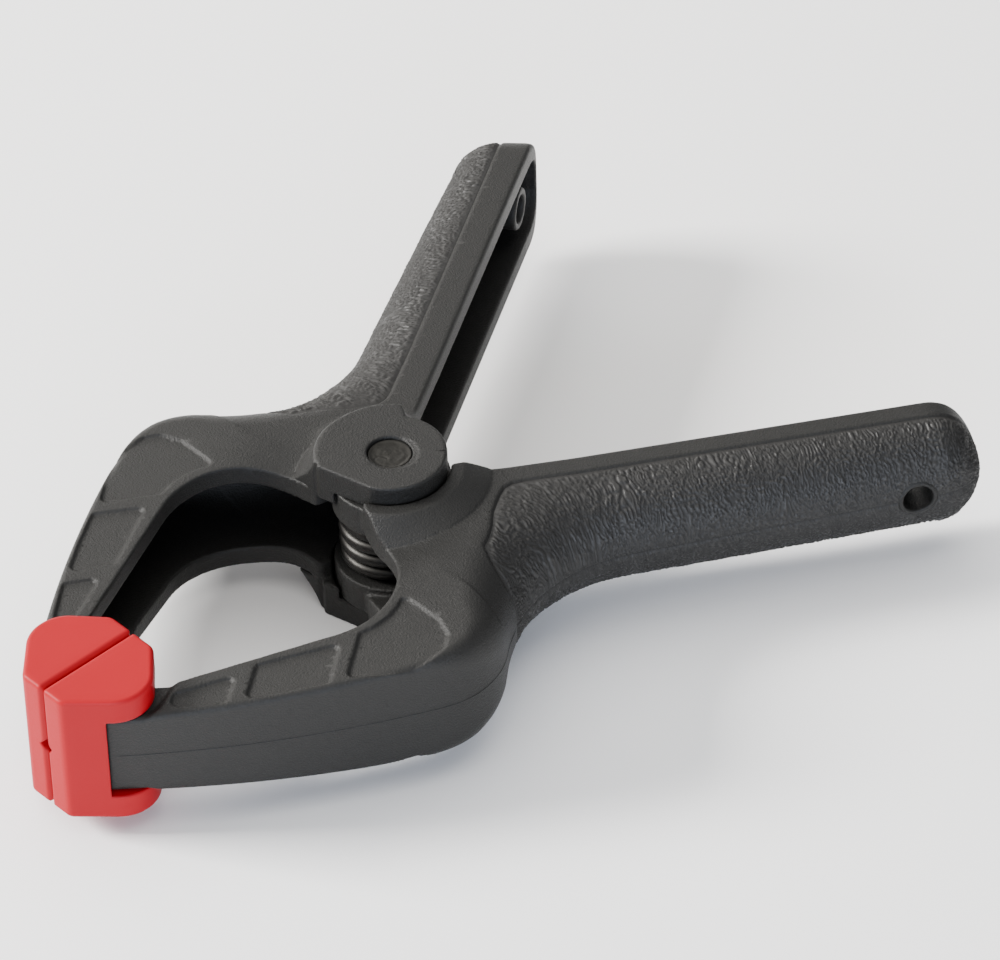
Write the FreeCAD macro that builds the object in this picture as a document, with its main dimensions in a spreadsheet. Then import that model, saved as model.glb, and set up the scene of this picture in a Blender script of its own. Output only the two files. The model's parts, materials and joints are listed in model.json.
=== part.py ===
import FreeCAD, Part
import math
import os
import Sketcher

# Spring clamp, in millimetres. Two channel-section levers turn on one pin, a torsion
# spring round the pin pushes the handles apart, and a swivel pad sits on each jaw tip.
# Everything is drawn about the pivot axis (Z) at the mid-plane (Z = 0), with the jaws
# towards -X and the handles towards +X. The outer lever lies on the +Y side and carries
# the outer ears; the inner lever lies on the -Y side and its ears fit between them.
# A placement then stands the clamp on Z = 0, with the origin under its middle.

Vector = FreeCAD.Vector
OUTER = 1
INNER = -1

DRIVING_SIZES = [
    ("PadFrontReach", 80.4, "pivot axis to the front of the pads"),
    ("HandleLength", 105.0, "pivot axis to the handle end, along the handle"),
    ("HandleAngle", 31.3, "handle direction from the X axis, degrees"),
    ("HandleHalf", 11.2, "half height of a handle"),
    ("HandleEndRound", 9.0, "length of the rounded end of a handle"),
    ("GripRootAlong", 38.8, "pivot axis to the root of the grip, along the handle"),
    ("GripTopEdge", 6.1, "pivot line to the edge of the flat side of a handle"),
    ("GripRootDepth", 17.7, "pivot line to the back of a handle at its root"),
    ("GripEndDepth", 14.9, "pivot line to the back of a handle at its end"),
    ("OuterRimOffset", 0.2, "pivot line to the open rim of the outer handle"),
    ("InnerRimOffset", 2.0, "pivot line to the open rim of the inner handle"),
    ("HubHalf", 12.2, "half height of the lever flanges at the pivot"),
    ("TipHalf", 8.3, "half height of the head of a jaw arm"),
    ("NeckHalf", 9.3, "half height of a jaw arm at its neck"),
    ("TipSetback", 5.8, "front of the pads back to the tip of a jaw arm"),
    ("TipRise", 9.3, "closing plane to the tip of a jaw arm"),
    ("ArmBackRadius", 205.0, "curve of the back of a jaw arm"),
    ("ElbowBack", 19.0, "pivot axis to the centre of the elbow bend, towards the jaws"),
    ("ElbowRise", 26.2, "pivot axis to the centre of the elbow bend, away from the other"),
    ("ElbowRadius", 16.0, "elbow bend at the back of the lever"),
    ("WaistRadius", 30.0, "hollow between elbow and handle"),
    ("ThroatBack", 26.4, "pivot axis to the centre of the throat curve, towards the jaws"),
    ("ThroatRise", 8.5, "closing plane to the centre of the throat curve"),
    ("ThroatRadius", 15.7, "throat curve"),
    ("NeckSetback", 14.4, "jaw arm tip to the neck behind the pad"),
    ("NeckRise", 11.2, "closing plane to the inner edge of the neck"),
    ("Wall", 2.4, "side wall of the lever channels"),
    ("Flange", 3.9, "top and bottom flange of the lever channels"),
    ("ArmEdgeRound", 1.3, "rounded outer edge of a jaw arm"),
    ("EarRadius", 10.2, "round outer ear"),
    ("EarThickness", 4.9, "outer ear"),
    ("EarGap", 0.15, "gap between the outer and inner ears"),
    ("ShoulderRadius", 13.0, "raised shoulder that joins the outer ear to its arm"),
    ("ShoulderStart", 38.0, "start of the raised shoulder, degrees"),
    ("ShoulderEnd", 151.0, "end of the raised shoulder, degrees"),
    ("WebEnd", 187.0, "end of the web between the outer ear and its shoulder, degrees"),
    ("SkirtRadius", 17.4, "foot of the sloped skirts round the ears"),
    ("InnerEarRadius", 10.6, "round inner ear"),
    ("InnerEarFloor", 6.0, "mid-plane to the inner face of the inner ears"),
    ("EarRunning", 0.4, "radial gap round the ears"),
    ("LugRise", 4.2, "closing plane to the end of the lug beside the outer ear"),
    ("LugReach", 12.1, "pivot axis to the throat side of that lug"),
    ("RingRise", 1.9, "height of the raised ring on the inner lever"),
    ("RingLand", 1.2, "width of the top of the raised ring"),
    ("RingStart", 164.0, "start of the raised ring, degrees below the X axis"),
    ("RingEnd", 43.0, "end of the raised ring, degrees below the X axis"),
    ("PinRadius", 4.0, "pivot pin"),
    ("PinRunning", 0.05, "radial clearance of the inner ears on the pin"),
    ("PinRecess", 0.5, "pin ends below the faces of the outer ears"),
    ("PinChamfer", 0.3, "edges of the pin ends"),
    ("CoilRadius", 8.3, "mean radius of the spring coil"),
    ("WireRadius", 1.25, "spring wire"),
    ("CoilRise", 9.08, "spring coil, from leg to leg along the pin"),
    ("CoilTurns", 3.0, "whole turns of the spring between its two legs"),
    ("LegReach", 42.0, "pivot axis to the end of a spring leg, along the handle"),
    ("LegSeatGap", 0.3, "spring leg to the wall it presses on"),
    ("PadLength", 20.6, "jaw pad, front to back"),
    ("PadHalf", 13.5, "half height of a jaw pad"),
    ("PadDepth", 12.9, "closing plane to the back of a jaw pad"),
    ("PadFrontFlat", 4.9, "closing plane to the front corner of a pad"),
    ("PadBackFlat", 5.4, "closing plane to the back corner of a pad"),
    ("PadBackCut", 6.6, "length cut off the back corner of a pad"),
    ("PadCornerRound", 2.5, "rounded back corners of a pad"),
    ("PadWall", 5.2, "closing plane to the slot of a pad"),
    ("PadFaceGap", 0.05, "closing plane to the face of each pad"),
    ("PadBevel", 1.3, "bevel along the closing edges of a pad"),
    ("PadEndGap", 0.3, "jaw arm tip to the end of the slot in a pad"),
    ("PadSideGap", 0.2, "jaw arm to each ear of a pad"),
    ("PadPivotSetback", 6.3, "jaw arm tip back to the pad pivot"),
    ("HeadRound", 3.9, "inner side of the arm head, about the pad pivot"),
    ("StudRadius", 2.2, "studs of a pad"),
    ("StudLength", 2.4, "studs of a pad, from its ears"),
    ("StudEndGap", 0.2, "end of a stud to the bottom of its hole"),
    ("StudRunning", 0.05, "radial clearance of a pad stud"),
    ("NotchWidth", 1.6, "notch across the pad faces at mid height"),
    ("HangHoleRadius", 2.7, "hanging hole through the back of a handle"),
    ("HangHoleFromEnd", 13.5, "handle end to the hanging hole"),
    ("HangTubeWall", 1.6, "wall of the tube behind the hanging hole"),
    ("HangTubeInset", 3.0, "open rim to the end of that tube"),
    ("PanelDepth", 0.6, "recessed panels on the jaw arms"),
    ("PanelRound", 1.2, "corner radius of the recessed panels"),
    ("PanelMargin", 2.1, "panel edge to the edge of the jaw arm"),
    ("PanelRib", 3.9, "rib between two panels, along the arm"),
    ("PanelLean", 143.0, "heading of the ribs between panels, degrees"),
    ("ElbowPanelEnd", 67.0, "heading of the elbow panel's end from the throat centre, degrees"),
    ("MiddlePanelLength", 14.8, "middle panel, along the arm"),
    ("FrontPanelLength", 8.6, "front panel, along the arm"),
]

document = FreeCAD.newDocument("SpringClamp")
sheet = document.addObject("Spreadsheet::Sheet", "Dims")
for row, (alias, number, meaning) in enumerate(DRIVING_SIZES, start=1):
    sheet.set("A%d" % row, meaning)
    sheet.set("B%d" % row, str(number))
    sheet.setAlias("B%d" % row, alias)
document.recompute()


def size(alias):
    """A driving size, as the sheet holds it."""
    return float(sheet.get(alias))


def add(kind, name, bindings):
    """A document object with its sizes bound to the sheet's cells."""
    item = document.addObject(kind, name)
    for key, formula in bindings.items():
        item.setExpression(key, formula)
    return item


def shaped(name, shape):
    """A document object for a shape that no primitive or sketch feature makes."""
    item = document.addObject("Part::Feature", name)
    item.Shape = shape
    return item


def fuse(name, items):
    joined = document.addObject("Part::MultiFuse", name)
    joined.Shapes = items
    return joined


def cut(name, base, tool):
    result = document.addObject("Part::Cut", name)
    result.Base = base
    result.Tool = tool
    return result


# ---------------------------------------------------------------- plan geometry
# Both levers and both pads are drawn on the +Y side. The inner ones are then turned half
# a turn about X, which swaps the sides of these shapes, alike above and below the middle.

def plan(x, y):
    return Vector(x, y, 0)


def polar(centre, radius, degrees):
    angle = math.radians(degrees)
    return centre + Vector(radius * math.cos(angle), radius * math.sin(angle), 0)


def heading(vector):
    return math.degrees(math.atan2(vector.y, vector.x))


def on_handle(along, across):
    """The plan point at a distance along the handle, and across it towards its back."""
    angle = math.radians(size("HandleAngle"))
    return plan(along * math.cos(angle) - across * math.sin(angle),
                along * math.sin(angle) + across * math.cos(angle))


def circles_meet(centre_a, radius_a, centre_b, radius_b):
    """Where two circles cross, to the right of the line from a to b."""
    gap = centre_b - centre_a
    along = (radius_a ** 2 - radius_b ** 2 + gap.Length ** 2) / (2 * gap.Length)
    across = math.sqrt(radius_a ** 2 - along ** 2)
    gap.normalize()
    return centre_a + gap * along + Vector(gap.y, -gap.x, 0) * across


TIP = plan(size("TipSetback") - size("PadFrontReach"), size("TipRise"))
NECK = plan(TIP.x + size("NeckSetback"), size("NeckRise"))
ELBOW = plan(-size("ElbowBack"), size("ElbowRise"))
THROAT = plan(-size("ThroatBack"), size("ThroatRise"))
PAD_PIVOT = TIP + plan(size("PadPivotSetback"), 0)
ARM_BACK = circles_meet(TIP, size("ArmBackRadius"), ELBOW,
                        size("ArmBackRadius") - size("ElbowRadius"))
GRIP_ROOT = on_handle(size("GripRootAlong"), size("GripRootDepth"))
GRIP_END = on_handle(size("HandleLength"), size("GripEndDepth"))
GRIP_RUN = (GRIP_END - GRIP_ROOT).normalize()
GRIP_OUTWARD = Vector(-GRIP_RUN.y, GRIP_RUN.x, 0)


def waist_centre():
    """The centre of the hollow that touches the elbow bend and the back of the handle."""
    level = GRIP_ROOT + GRIP_OUTWARD * size("WaistRadius")
    reach = size("ElbowRadius") + size("WaistRadius")
    back = (ELBOW - level).dot(GRIP_RUN)
    height = (ELBOW - level).dot(GRIP_OUTWARD)
    return level + GRIP_RUN * (back + math.sqrt(reach ** 2 - height ** 2))


WAIST = waist_centre()


def arc(centre, start, end):
    """The shorter arc about a centre from start to end."""
    middle = ((start + end) / 2 - centre).normalize()
    return Part.Arc(start, centre + middle * (start - centre).Length, end).toShape()


def back_outline():
    """The back of the lever in plan, from the jaw tip to the handle end."""
    elbow_start = ELBOW + (ELBOW - ARM_BACK).normalize() * size("ElbowRadius")
    elbow_end = ELBOW + (WAIST - ELBOW).normalize() * size("ElbowRadius")
    waist_end = WAIST - GRIP_OUTWARD * size("WaistRadius")
    return Part.Wire([
        arc(ARM_BACK, TIP, elbow_start),
        arc(ELBOW, elbow_start, elbow_end),
        arc(WAIST, elbow_end, waist_end),
        Part.makeLine(waist_end, GRIP_END),
    ])


BACK_OUTLINE = back_outline()


def back_of_lever(inner, degrees):
    """From an inner point, the point on the back of the lever in a given direction."""
    ray = Part.makeLine(inner, polar(inner, 2 * size("HandleLength"), degrees))
    return BACK_OUTLINE.distToShape(ray)[1][0][0]


def grip_depth(along):
    """Pivot line to the back of the handle, which narrows evenly towards its end."""
    share = (along - size("GripRootAlong")) / (size("HandleLength") - size("GripRootAlong"))
    return size("GripRootDepth") + share * (size("GripEndDepth") - size("GripRootDepth"))


def arm_half(x):
    """Half height of a jaw arm, which tapers evenly from the hub to the neck."""
    share = (x - NECK.x) / (-size("EarRadius") - NECK.x)
    return min(size("HubHalf"), size("NeckHalf") + share * (size("HubHalf") - size("NeckHalf")))


# ---------------------------------------------------------------- lever channels
# A lever is lofted through stations. Each station is a section across the lever: an
# inner edge, two flat flanges, and a back whose edges are rounded by quarter ellipses.
# LIP is the least flat left beside a rounded edge.

LIP = 0.4

# Round the elbow, the back of the lever goes from square to round. Each row gives the
# heading of the inner edge from the throat centre, the heading of the section there,
# and the depth and height of its rounded edges.
ELBOW_SECTIONS = (
    (92, 92, 1.4, 2.0),
    (76, 78, 3.6, 4.6),
    (56, 68, 7.6, 8.2),
    (30, 67, 9.6, 10.4),
)

# Towards its end a handle draws in. These are the shares that its half height, its open
# rim and its back each take of the same quarter circle.
END_DRAW_HALF = 0.42
END_DRAW_RIM = 0.47
END_DRAW_BACK = 0.78
END_DRAW_STEPS = (0, 22, 42, 60, 75, 86)


class Station:
    def __init__(self, inner, back, half, round_depth, round_height):
        self.inner = inner
        self.back = back
        self.half = half
        self.round_depth = round_depth
        self.round_height = round_height

    def inset(self, opening):
        """The section of the hollow inside this one, open past the inner edge."""
        outward = (self.back - self.inner).normalize()
        half = self.half - size("Flange")
        depth = max(self.round_depth - size("Wall"), 2 * LIP)
        height = min(max(self.round_height - size("Flange"), 2 * LIP), half - LIP)
        return Station(self.inner - outward * opening, self.back - outward * size("Wall"),
                       half, depth, height)

    def wire(self):
        outward = (self.back - self.inner).normalize()
        crest = self.back - outward * self.round_depth
        lip = self.half - self.round_height

        def place(point, z):
            return Vector(point.x, point.y, z)

        def quarter(start, corner, end):
            curve = Part.BSplineCurve()
            curve.buildFromPolesMultsKnots([start, corner, end], [3, 3], [0, 1], False, 2,
                                           [1, math.sqrt(0.5), 1])
            return curve.toShape()

        top_inner = place(self.inner, self.half)
        top_crest = place(crest, self.half)
        top_lip = place(self.back, lip)
        low_lip = place(self.back, -lip)
        low_crest = place(crest, -self.half)
        low_inner = place(self.inner, -self.half)
        return Part.Wire([
            Part.makeLine(low_inner, top_inner),
            Part.makeLine(top_inner, top_crest),
            quarter(top_crest, place(self.back, self.half), top_lip),
            Part.makeLine(top_lip, low_lip),
            quarter(low_lip, place(self.back, -self.half), low_crest),
            Part.makeLine(low_crest, low_inner),
        ])


def throat_tangent():
    """Heading from the throat centre to where the straight inner edge touches its curve."""
    toward = NECK - THROAT
    return heading(toward) - math.degrees(math.acos(size("ThroatRadius") / toward.Length))


def arm_stations():
    """The jaw arm, from its neck along the straight inner edge and round the throat."""
    edge = size("ArmEdgeRound")
    across = throat_tangent()
    touch = polar(THROAT, size("ThroatRadius"), across)
    stations = []
    for share in (0.0, 0.35, 0.7, 1.0):
        inner = NECK + (touch - NECK) * share
        stations.append(Station(inner, back_of_lever(inner, across), arm_half(inner.x),
                                edge, edge))
    for throat_heading, section_heading, depth, height in ELBOW_SECTIONS:
        inner = polar(THROAT, size("ThroatRadius"), throat_heading)
        stations.append(Station(inner, back_of_lever(inner, section_heading),
                                arm_half(inner.x), depth, height))
    return stations


def hub_stations(rim_offset):
    """The waist beside the pivot, where the square arm becomes the round-backed handle."""
    hub = size("HubHalf")
    handle = size("HandleHalf")
    ear = size("EarRadius")
    fall = hub - handle
    places = (
        (plan(-0.55, 0.5) * ear, 76, 11.2, hub),
        (plan(0.2, 0.45) * ear, 84, 12.6, hub - 0.1 * fall),
        (on_handle(1.08 * ear, rim_offset), 91, 13.0, hub - 0.3 * fall),
        (on_handle(1.9 * ear, rim_offset), 101, 12.8, hub - 0.7 * fall),
    )
    return [Station(inner, back_of_lever(inner, across), half, depth, half - LIP)
            for inner, across, depth, half in places]


def handle_stations(rim_offset):
    """The straight run of a handle."""
    start = size("GripRootAlong") - 0.2 * size("WaistRadius")
    end = size("HandleLength") - size("HandleEndRound")
    half = size("HandleHalf")
    count = 4
    stations = []
    for step in range(count):
        along = start + (end - start) * step / count
        back = grip_depth(along)
        stations.append(Station(on_handle(along, rim_offset), on_handle(along, back), half,
                                back - size("GripTopEdge"), half - LIP))
    return stations


def handle_end_stations(rim_offset):
    """The rounded end of a handle, whose sections draw in along a quarter circle."""
    length = size("HandleEndRound")
    start = size("HandleLength") - length
    rounded_share = (grip_depth(start) - size("GripTopEdge")) / (grip_depth(start) - rim_offset)
    stations = []
    for degrees in END_DRAW_STEPS:
        angle = math.radians(degrees)
        along = start + length * math.sin(angle)
        draw = length * (1 - math.cos(angle))
        half = size("HandleHalf") - END_DRAW_HALF * draw
        rim = rim_offset + END_DRAW_RIM * draw
        back = grip_depth(along) - END_DRAW_BACK * draw
        stations.append(Station(on_handle(along, rim), on_handle(along, back), half,
                                rounded_share * (back - rim), half - LIP))
    return stations


def loft(stations, ruled):
    return Part.makeLoft([station.wire() for station in stations], True, ruled)


def prism(edges, low, high):
    """A solid between two heights over a closed plan outline."""
    face = Part.Face(Part.Wire(edges))
    face.translate(Vector(0, 0, low))
    return face.extrude(Vector(0, 0, high - low))


def channel_stations(rim_offset):
    return arm_stations() + hub_stations(rim_offset) + handle_stations(rim_offset)


def lever_skin(rim_offset):
    return loft(channel_stations(rim_offset) + handle_end_stations(rim_offset), False)


def lever_hollow(rim_offset):
    """The hollow of a channel: as wide as the skin allows, and open past its inner edge."""
    stations = channel_stations(rim_offset) + handle_end_stations(rim_offset)[:3]
    return loft([station.inset(size("Flange")) for station in stations], True)


def head_prism():
    """The solid head of a jaw arm: rounded about the pad pivot so that the pad can tilt."""
    radius = size("HeadRound")
    toward = NECK - PAD_PIVOT
    touch = heading(toward) - math.degrees(math.acos(radius / toward.Length))
    arc_end = polar(PAD_PIVOT, radius, touch)
    arc_start = polar(PAD_PIVOT, radius, -90)
    nose = 0.4 * size("PadPivotSetback")
    bevel_low = plan(TIP.x + nose, arc_start.y)
    bevel_high = TIP - plan(0, radius - nose)
    neck_back = back_of_lever(NECK, throat_tangent())
    sunk_inner = NECK + polar(Vector(), size("Wall"), throat_tangent() - 45)
    sunk_outer = neck_back + polar(Vector(), size("Wall"), throat_tangent() - 135)
    edges = [
        Part.makeLine(NECK, sunk_inner),
        Part.makeLine(sunk_inner, sunk_outer),
        Part.makeLine(sunk_outer, neck_back),
        arc(ARM_BACK, neck_back, TIP),
        Part.makeLine(TIP, bevel_high),
        Part.makeLine(bevel_high, bevel_low),
        Part.makeLine(bevel_low, arc_start),
        arc(PAD_PIVOT, arc_start, arc_end),
        Part.makeLine(arc_end, NECK),
    ]
    return prism(edges, -size("TipHalf"), size("TipHalf"))


# ---------------------------------------------------------------- recessed panels
# Three shallow panels lie on each flat face of a jaw arm, between leaning ribs.

def rounded(edges):
    """A plan face with its corners rounded, by drawing it in and letting it out again."""
    face = Part.Face(Part.Wire(edges))
    return face.makeOffset2D(-size("PanelRound")).makeOffset2D(size("PanelRound"))


def panel_line(along):
    """A point of the panels' throat side, a distance along the arm from the throat curve."""
    across = throat_tangent()
    start = polar(THROAT, size("ThroatRadius") + size("PanelMargin"), across)
    return polar(start, along, across + 90)


def panel_back(inner):
    """The far end of a rib that starts at an inner point."""
    lean = size("PanelLean")
    return polar(back_of_lever(inner, lean), -size("PanelMargin") - size("ArmEdgeRound"), lean)


def arm_panel(near, far):
    corners = [panel_line(near), panel_line(far)]
    corners += [panel_back(corner) for corner in reversed(corners)]
    return rounded(Part.makePolygon(corners + corners[:1]).Edges)


def elbow_panel():
    """The panel inside the elbow, which follows the throat curve and the elbow bend."""
    inner_radius = size("ThroatRadius") + size("PanelMargin")
    elbow_radius = size("ElbowRadius") - size("PanelMargin") - size("ArmEdgeRound") / 2
    rib_share = math.degrees(0.6 * size("PanelRib") / inner_radius)
    begin = polar(THROAT, inner_radius, throat_tangent() - rib_share)
    end = polar(THROAT, inner_radius, size("ElbowPanelEnd"))
    elbow_end = polar(ELBOW, elbow_radius, 90)
    elbow_start = polar(ELBOW, elbow_radius, heading(ELBOW - ARM_BACK))
    corner = panel_back(begin)
    return rounded([
        arc(THROAT, begin, end),
        Part.makeLine(end, elbow_end),
        arc(ELBOW, elbow_end, elbow_start),
        Part.makeLine(elbow_start, corner),
        Part.makeLine(corner, begin),
    ])


def panel_tools():
    """Cutters for the panels of both faces; their floors slope as the arm's faces do."""
    slope = math.atan2(size("HubHalf") - size("NeckHalf"), -size("EarRadius") - NECK.x)
    middle_start = 0.4 * size("PanelRib")
    front_start = middle_start + size("MiddlePanelLength") + size("PanelRib")
    tools = []
    for face in (elbow_panel(), arm_panel(middle_start, middle_start + size("MiddlePanelLength")),
                 arm_panel(front_start, front_start + size("FrontPanelLength"))):
        face.rotate(plan(NECK.x, 0), Vector(0, 1, 0), -math.degrees(slope))
        face.translate(Vector(0, 0, size("NeckHalf") - size("PanelDepth")))
        tool = face.extrude(Vector(0, 0, size("Flange")))
        tools += [tool, tool.mirror(Vector(), Vector(0, 0, 1))]
    return Part.makeCompound(tools)


# ---------------------------------------------------------------- levers

def both_faces(name, upper):
    """A feature of the upper face, with its mirror image on the lower face."""
    lower = document.addObject("Part::Mirroring", name + "Lower")
    lower.Source = upper
    lower.Base = Vector()
    lower.Normal = Vector(0, 0, 1)
    return [upper, lower]


def lengthwise_cylinder(name, radius, start, end):
    """A cylinder of a bound radius from one plan point to another."""
    item = add("Part::Cylinder", name, {"Radius": radius})
    item.Height = (end - start).Length
    item.Placement = FreeCAD.Placement(start, FreeCAD.Rotation(Vector(0, 0, 1), end - start))
    return item


def hang_hole(name, rim_offset):
    """The tube behind the hanging hole, and the hole's own cutter."""
    along = size("HandleLength") - size("HangHoleFromEnd")
    inner = on_handle(along, rim_offset + size("HangTubeInset"))
    wall_middle = on_handle(along, grip_depth(along) - size("Wall") / 2)
    beyond = on_handle(along, grip_depth(along) + size("Wall"))
    before = on_handle(along, rim_offset - size("Wall"))
    tube = lengthwise_cylinder(name + "HangTube", "Dims.HangHoleRadius + Dims.HangTubeWall",
                               inner, wall_middle)
    return tube, lengthwise_cylinder(name + "HangHole", "Dims.HangHoleRadius", before, beyond)


def stud_hole(name):
    """A blind hole for a pad's stud in the upper face of the arm's head."""
    return add("Part::Cylinder", name + "StudHole", {
        "Radius": "Dims.StudRadius + Dims.StudRunning",
        "Height": "Dims.StudLength + Dims.StudEndGap",
        "Placement.Base.x": "Dims.TipSetback + Dims.PadPivotSetback - Dims.PadFrontReach",
        "Placement.Base.y": "Dims.TipRise",
        "Placement.Base.z": "Dims.TipHalf + Dims.PadSideGap - Dims.StudLength - Dims.StudEndGap",
    })


def throat_cutter(name):
    """The throat's curve as a cutter for what stands on the flange beside it."""
    return add("Part::Cylinder", name + "ThroatCut", {
        "Radius": "Dims.ThroatRadius",
        "Height": "Dims.Flange + 2 * Dims.EarThickness",
        "Placement.Base.x": "-Dims.ThroatBack",
        "Placement.Base.y": "Dims.ThroatRise",
        "Placement.Base.z": "Dims.HubHalf - Dims.Flange",
    })


def outer_ear():
    """The outer ear with its shoulder and sloped skirt, and the lug on the throat side."""
    turn = "Dims.ShoulderEnd - Dims.ShoulderStart"
    slope = "(Dims.SkirtRadius - Dims.ShoulderRadius) / (Dims.EarThickness + Dims.EarGap)"
    disc = add("Part::Cylinder", "OuterEarDisc", {
        "Radius": "Dims.EarRadius",
        "Height": "Dims.EarThickness",
        "Placement.Base.z": "Dims.HubHalf + Dims.EarGap",
    })
    shoulder = add("Part::Cylinder", "OuterShoulder", {
        "Radius": "Dims.ShoulderRadius",
        "Height": "Dims.EarThickness",
        "Angle": turn,
        "Placement.Base.z": "Dims.HubHalf + Dims.EarGap",
        "Placement.Rotation.Angle": "Dims.ShoulderStart",
    })
    skirt = add("Part::Cone", "OuterSkirt", {
        "Radius1": "Dims.SkirtRadius + Dims.Flange / 2 * " + slope,
        "Radius2": "Dims.ShoulderRadius",
        "Height": "Dims.Flange / 2 + Dims.EarGap + Dims.EarThickness",
        "Angle": turn,
        "Placement.Base.z": "Dims.HubHalf - Dims.Flange / 2",
        "Placement.Rotation.Angle": "Dims.ShoulderStart",
    })
    low = size("HubHalf") + size("EarGap")
    web_corners = [Vector(), polar(Vector(), size("EarRadius"), size("WebEnd")),
                   polar(Vector(), size("ShoulderRadius"), size("ShoulderEnd")), Vector()]
    web = shaped("OuterEarWeb", prism(Part.makePolygon(web_corners).Edges, low,
                                      low + size("EarThickness")))
    standing = cut("OuterEarTrimmed", fuse("OuterEarWhole", [disc, shoulder, skirt, web]),
                   throat_cutter("Outer"))
    lug = add("Part::Box", "OuterLug", {
        "Length": "Dims.LugReach - Dims.EarRadius / 2",
        "Width": "Dims.ShoulderRadius + Dims.Wall - Dims.LugRise",
        "Height": "Dims.Flange + Dims.EarGap",
        "Placement.Base.x": "-Dims.LugReach",
        "Placement.Base.y": "Dims.LugRise",
        "Placement.Base.z": "Dims.HubHalf - Dims.Flange",
    })
    return fuse("OuterEar", [standing, lug])


def inner_ear():
    """The inner ear, and the raised ring on the flange round the outer ear."""
    turn = "Dims.RingStart - Dims.RingEnd"
    disc = add("Part::Cylinder", "InnerEarDisc", {
        "Radius": "Dims.InnerEarRadius",
        "Height": "Dims.HubHalf - Dims.InnerEarFloor",
        "Placement.Base.z": "Dims.InnerEarFloor",
    })
    foot = add("Part::Cylinder", "InnerRingFoot", {
        "Radius": "Dims.SkirtRadius",
        "Height": "Dims.Flange",
        "Angle": turn,
        "Placement.Base.z": "Dims.HubHalf - Dims.Flange",
        "Placement.Rotation.Angle": "Dims.RingEnd",
    })
    ring = add("Part::Cone", "InnerRing", {
        "Radius1": "Dims.SkirtRadius",
        "Radius2": "Dims.InnerEarRadius + Dims.RingLand",
        "Height": "Dims.RingRise",
        "Angle": turn,
        "Placement.Base.z": "Dims.HubHalf",
        "Placement.Rotation.Angle": "Dims.RingEnd",
    })
    pocket = add("Part::Cylinder", "InnerRingPocket", {
        "Radius": "Dims.InnerEarRadius",
        "Height": "2 * Dims.RingRise",
        "Placement.Base.z": "Dims.HubHalf",
    })
    standing = fuse("InnerRingWhole", [foot, ring])
    trimmed = cut("InnerRingTrimmed", standing, fuse("InnerRingCuts",
                                                     [pocket, throat_cutter("Inner")]))
    return fuse("InnerEar", [disc, trimmed])


def pivot_bore(name, radius):
    return add("Part::Cylinder", name, {
        "Radius": radius,
        "Height": "2 * (Dims.HubHalf + Dims.EarGap + 2 * Dims.EarThickness)",
        "Placement.Base.z": "-Dims.HubHalf - Dims.EarGap - 2 * Dims.EarThickness",
    })


def lever(name, label, rim_offset, ear, cutters):
    """A lever: its channel and head, the ears of both faces, then every hole and panel."""
    skin = shaped(name + "Skin", lever_skin(rim_offset))
    hollow = shaped(name + "Hollow", lever_hollow(rim_offset))
    head = shaped(name + "Head", head_prism())
    panels = shaped(name + "Panels", panel_tools())
    tube, hole = hang_hole(name, rim_offset)
    channel = cut(name + "Channel", fuse(name + "Solid", [skin, head]), hollow)
    whole = fuse(name + "Whole", [channel, tube] + both_faces(name + "Ear", ear))
    tools = [hole, panels] + both_faces(name + "StudHole", stud_hole(name)) + cutters
    finished = cut(name + "Lever", whole, fuse(name + "Cuts", tools))
    finished.Label = label
    return finished


hub_clearance = add("Part::Cylinder", "HubClearance", {
    "Radius": "Dims.InnerEarRadius + Dims.EarRunning",
    "Height": "2 * (Dims.HubHalf + Dims.EarGap)",
    "Placement.Base.z": "-Dims.HubHalf - Dims.EarGap",
})
outer_lever = lever("Outer", "lever_outer", size("OuterRimOffset"), outer_ear(),
                    [pivot_bore("OuterBore", "Dims.PinRadius"), hub_clearance])
inner_lever = lever("Inner", "lever_inner", size("InnerRimOffset"), inner_ear(),
                    [pivot_bore("InnerBore", "Dims.PinRadius + Dims.PinRunning")])


# ---------------------------------------------------------------- pivot pin

PIN_HALF = "(Dims.HubHalf + Dims.EarGap + Dims.EarThickness - Dims.PinRecess)"
shank = add("Part::Cylinder", "PinShank", {
    "Radius": "Dims.PinRadius",
    "Height": "2 * (%s - Dims.PinChamfer)" % PIN_HALF,
    "Placement.Base.z": "Dims.PinChamfer - " + PIN_HALF,
})
pin_end = add("Part::Cone", "PinEnd", {
    "Radius1": "Dims.PinRadius",
    "Radius2": "Dims.PinRadius - Dims.PinChamfer",
    "Height": "Dims.PinChamfer",
    "Placement.Base.z": PIN_HALF + " - Dims.PinChamfer",
})
pin = fuse("Pin", [shank] + both_faces("PinEnd", pin_end))
pin.Label = "pivot_pin"


# ---------------------------------------------------------------- torsion spring

COIL_HALF = size("CoilRise") / 2


def leg_seat():
    """Where a leg's end lies across the handle, just off the curved wall of its channel."""
    reach = size("LegReach")
    back = grip_depth(reach)
    section = Station(on_handle(reach, size("OuterRimOffset")), on_handle(reach, back),
                      size("HandleHalf"), back - size("GripTopEdge"), size("HandleHalf") - LIP)
    channel = section.inset(size("Flange")).wire()
    clear = Part.Face(channel).makeOffset2D(-size("WireRadius") - size("LegSeatGap"))
    level = Vector(0, 0, COIL_HALF)
    ray = Part.makeLine(on_handle(reach, 0) + level, on_handle(reach, back) + level)
    return max(on_handle(0, 1).dot(vertex.Point) for vertex in clear.common(ray).Vertexes)


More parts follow.
